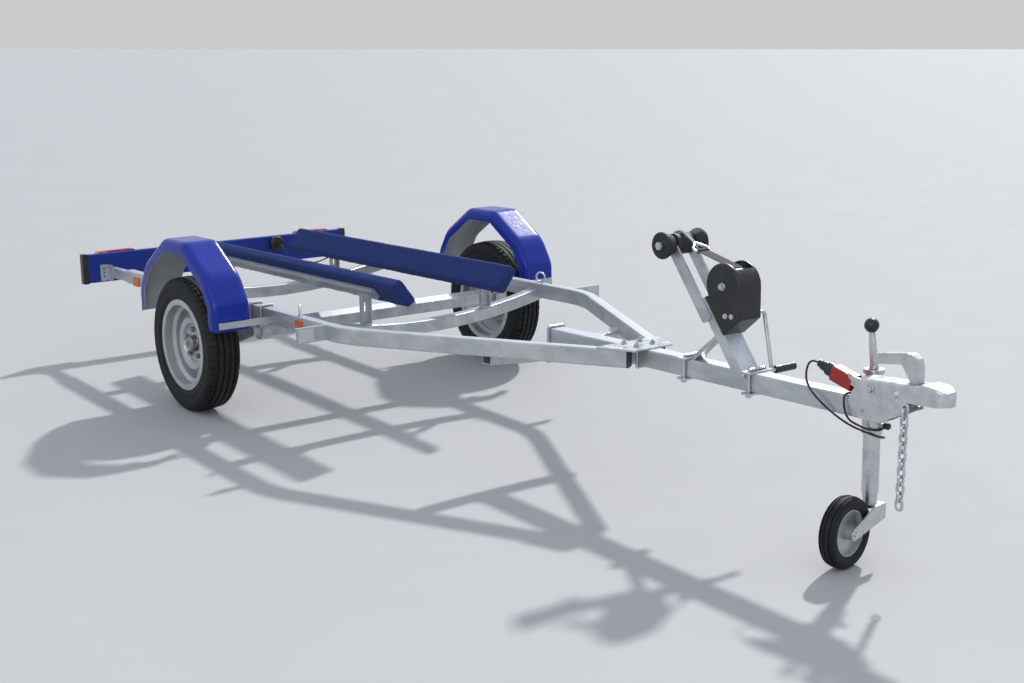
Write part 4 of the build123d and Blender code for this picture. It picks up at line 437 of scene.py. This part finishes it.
for tag, side in (("right", -1), ("left", 1)):
    up = Vector((0, side * cos(BUNK_LEAN), sin(BUNK_LEAN)))
    face = Vector((0, side * sin(BUNK_LEAN), -cos(BUNK_LEAN)))
    mesh = bmesh.new()
    rings = []
    for x in stations:
        near = min(x, length - x)
        inset = 1 - (TUCK_SHARE * (1 - near / TUCK) ** 2 if near < TUCK else 0)
        ring = []
        for a, b in loop:
            spot = Vector((x + BUNK_START, side * BUNK_Y, BUNK_Z)) + up * a * inset + face * b * inset
            out = (up * a / BUNK_WIDE ** 2 + face * b / BUNK_THICK ** 2).normalized()
            tuft = noise.noise(spot * 190) * 0.0011 + noise.noise(spot * 17) * 0.0012 - 0.0006
            ring.append(mesh.verts.new(spot + out * tuft))
        rings.append(ring)
    swept(mesh, rings)
    for ring, x in ((rings[0], BUNK_START), (rings[-1], BUNK_END)):
        middle = mesh.verts.new(Vector((x, side * BUNK_Y, BUNK_Z)))
        inner_ring = [mesh.verts.new(v.co.lerp(middle.co, 0.45)) for v in ring]
        swept(mesh, [ring, inner_ring])
        for k in range(len(ring)):
            mesh.faces.new((inner_ring[k], inner_ring[k - 1], middle))
    bunk = finished(mesh, f"bunk_carpet_{tag}", carpet, "frame", 180)
    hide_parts(f"bunk_{tag}")


# Light board: a plank of extruded blue plastic, satin, with fine lines along its length. The tail lamps on
# it are screwed-on housings of red plastic with a fine ribbed lens, amber at the outer end.
board_blue, place = begin("board_blue")
drawn = place.spread(40.0, 1.2, 220.0).noise(3.0, 3.0).between(0.3, 0.7)
colour = drawn.blend((0.004, 0.022, 0.19, 1), (0.007, 0.034, 0.25, 1))
place.finish(board_blue, colour, drawn * 0.1 + 0.38, relief=drawn, depth=0.0003, Specular_IOR_Level=0.3)
dress(board_blue, "light_board")

lamp_red, place = begin("lamp_red")
parts = place.make("ShaderNodeSeparateXYZ", place)
amber = parts.other("Y").math("ABSOLUTE") > 0.575
colour = amber.blend((0.42, 0.010, 0.010, 1), (0.72, 0.20, 0.010, 1))
ribs = (parts.other("Y") * 2200.0).math("SINE")
place.finish(lamp_red, colour, place.noise(60.0) * 0.1 + 0.12, relief=ribs, depth=0.0004, Coat_Weight=0.2)
dress(lamp_red, "tail_lamps")


# Reflectors: clear or amber plastic, stuck or screwed to the frame, with a honeycomb of prisms behind a
# smooth face.
for name, tint, dark in (("white", (0.66, 0.68, 0.70, 1), (0.42, 0.44, 0.46, 1)),
                         ("amber", (0.80, 0.19, 0.012, 1), (0.48, 0.09, 0.008, 1))):
    lens, place = begin(f"lens_{name}")
    prism = place.cells(420.0)
    colour = prism.between(0.15, 0.6).blend(tint, dark)
    place.finish(lens, colour, prism * 0.2 + 0.12, relief=prism, depth=0.0006, Coat_Weight=0.2,
                 Specular_IOR_Level=0.3)
    dress(lens, f"{name}_reflectors")


# End caps, winch cover, grips, knobs, connector and plug: moulded black plastic, satin and finely grained,
# greyer where dust sits. They are pushed, screwed or clipped on.
black_plastic, place = begin("black_plastic")
dust = place.noise(18.0, 5.0).between(0.45, 0.8)
colour = dust.blend((0.010, 0.010, 0.011, 1), (0.026, 0.026, 0.027, 1))
place.finish(black_plastic, colour, dust * 0.14 + 0.34, relief=place.cells(900.0), depth=0.00012)
dress(black_plastic, "end_caps", "winch_cover", "crank_grip", "handle_knob", "clamp_knob",
      "lamp_connector", "plug")


# Rollers and grommets: moulded black rubber, matt, scuffed where a hull has rolled on it. The rollers turn
# on a bolt between their arms, and the grommets are pushed into holes.
black_rubber, place = begin("black_rubber")
scuff = place.noise(30.0, 6.0, 0.7).between(0.5, 0.75)
colour = scuff.blend((0.010, 0.010, 0.010, 1), (0.038, 0.037, 0.036, 1))
place.finish(black_rubber, colour, scuff * 0.15 + 0.6, relief=place.noise(300.0), depth=0.0002)
dress(black_rubber, "roller_right", "roller_middle", "roller_left", "grommets")


# Winch: a dark painted steel reel between the cover's cheeks, and on it a strap of polyester woven in a
# fine twill, dark grey.
reel_steel, place = begin("reel_steel")
rub = place.noise(44.0, 4.0).between(0.5, 0.75)
colour = rub.blend((0.030, 0.031, 0.033, 1), (0.16, 0.16, 0.165, 1))
place.finish(reel_steel, colour, rub * -0.1 + 0.5, rub * 0.6 + 0.2, place.noise(120.0), 0.0002)
dress(reel_steel, "winch_reel")

webbing, place = begin("webbing")
twill = place.make("ShaderNodeTexWave", Vector=place.spread(1.0, 1.6, 1.0), Scale=130.0, Distortion=1.5)
colour = twill.blend((0.035, 0.034, 0.033, 1), (0.085, 0.083, 0.080, 1))
place.finish(webbing, colour, place.noise(60.0) * 0.1 + 0.8, relief=twill, depth=0.0004)
dress(webbing, "winch_strap")


# Bolts of the winch: on both cheeks, the one that its reel turns on and a smaller one that holds the cheeks
# to the post. Each is a zinc-plated hex nut over a washer, with the thread's end standing out.
def hexed(mesh, centre, axle, size, height):
    """A washer, a hex nut and a thread end, each with softened rims, standing along an axle."""
    axle = Vector(axle).normalized()
    along = axle.orthogonal().normalized()
    beside = axle.cross(along)
    washer = 0.0016
    top = washer + height
    for start, end, reach, corners, soft in ((0, washer, size * 1.16, 32, 0.0003),
                                             (washer, top, size, 6, 0.0007),
                                             (top, washer + height * 1.5, size * 0.46, 20, 0.0006)):
        ways = [2 * pi * k / corners for k in range(corners)]
        rings = []
        for level, radius in ((start, reach), (end - soft, reach), (end, reach - soft)):
            foot = Vector(centre) + axle * level
            rings.append([mesh.verts.new(foot + (along * cos(way) + beside * sin(way)) * radius)
                          for way in ways])
        swept(mesh, rings)
        mesh.faces.new(rings[0])
        mesh.faces.new(rings[2])


CHEEK_Y = 0.0500
mesh = bmesh.new()
for side in (-1, 1):
    hexed(mesh, (2.222, side * CHEEK_Y, 0.690), (0, side, 0), 0.0105, 0.008)
    hexed(mesh, (2.237, side * CHEEK_Y, 0.600), (0, side, 0), 0.0075, 0.005)
finished(mesh, "winch_bolts", bright_zinc, "frame", 30)


# Parking socket: moulded red plastic, screwed to the coupling's plate, with a faint moulded grain.
# The cable's plug is kept in it while the trailer is parked.
socket_red, place = begin("socket_red")
colour = place.noise(40.0, 4.0).between(0.35, 0.75).blend((0.34, 0.012, 0.010, 1), (0.24, 0.010, 0.010, 1))
place.finish(socket_red, colour, place.noise(25.0) * 0.15 + 0.3, relief=place.cells(700.0), depth=0.0002)
dress(socket_red, "park_socket")


# Floor and light: a plain pale floor, a pale sky, a large soft sun from behind on the left, and a soft
# fill in front.
floor_paint, place = begin("floor_paint")
colour = place.noise(1.3, 4.0).blend((0.385, 0.378, 0.366, 1), (0.42, 0.412, 0.40, 1))
place.finish(floor_paint, colour, place.noise(3.0) * 0.1 + 0.75)
low, reach = cad_box[0][2], 150
sheet = bpy.data.meshes.new("floor")
sheet.from_pydata([(-reach, -reach, low), (reach, -reach, low), (reach, reach, low), (-reach, reach, low)],
                  [], [(0, 1, 2, 3)])
sheet.materials.append(floor_paint)
floor = bpy.data.objects.new("floor", sheet)
scene.collection.objects.link(floor)

world = bpy.data.worlds.new("studio")
world.use_nodes = True
world.node_tree.nodes.clear()
sky = Wire(world.node_tree, world.node_tree.nodes.new("ShaderNodeTexCoord").outputs["Generated"])
height = sky.make("ShaderNodeSeparateXYZ", sky).other("Z")
colour = height.between(0.02, 0.5).blend((0.60, 0.60, 0.605, 1), (0.70, 0.78, 0.92, 1))
sky.make("ShaderNodeOutputWorld", sky.make("ShaderNodeBackground", colour, 1.0))
scene.world = world

for name, kind, spot, power, size in (("sun", "SUN", (-3.5, 6.5, 6.0), 3.2, radians(2.5)),
                                      ("fill", "AREA", (5.0, -6.5, 4.0), 120, 5.0)):
    light = bpy.data.lights.new(name, kind)
    light.energy = power
    if kind == "SUN":
        light.angle = size
    else:
        light.size = size
    lamp = bpy.data.objects.new(name, light)
    lamp.location = spot
    lamp.rotation_euler = (Vector((0, 0, 0.2)) - Vector(spot)).to_track_quat("-Z", "Y").to_euler()
    scene.collection.objects.link(lamp)
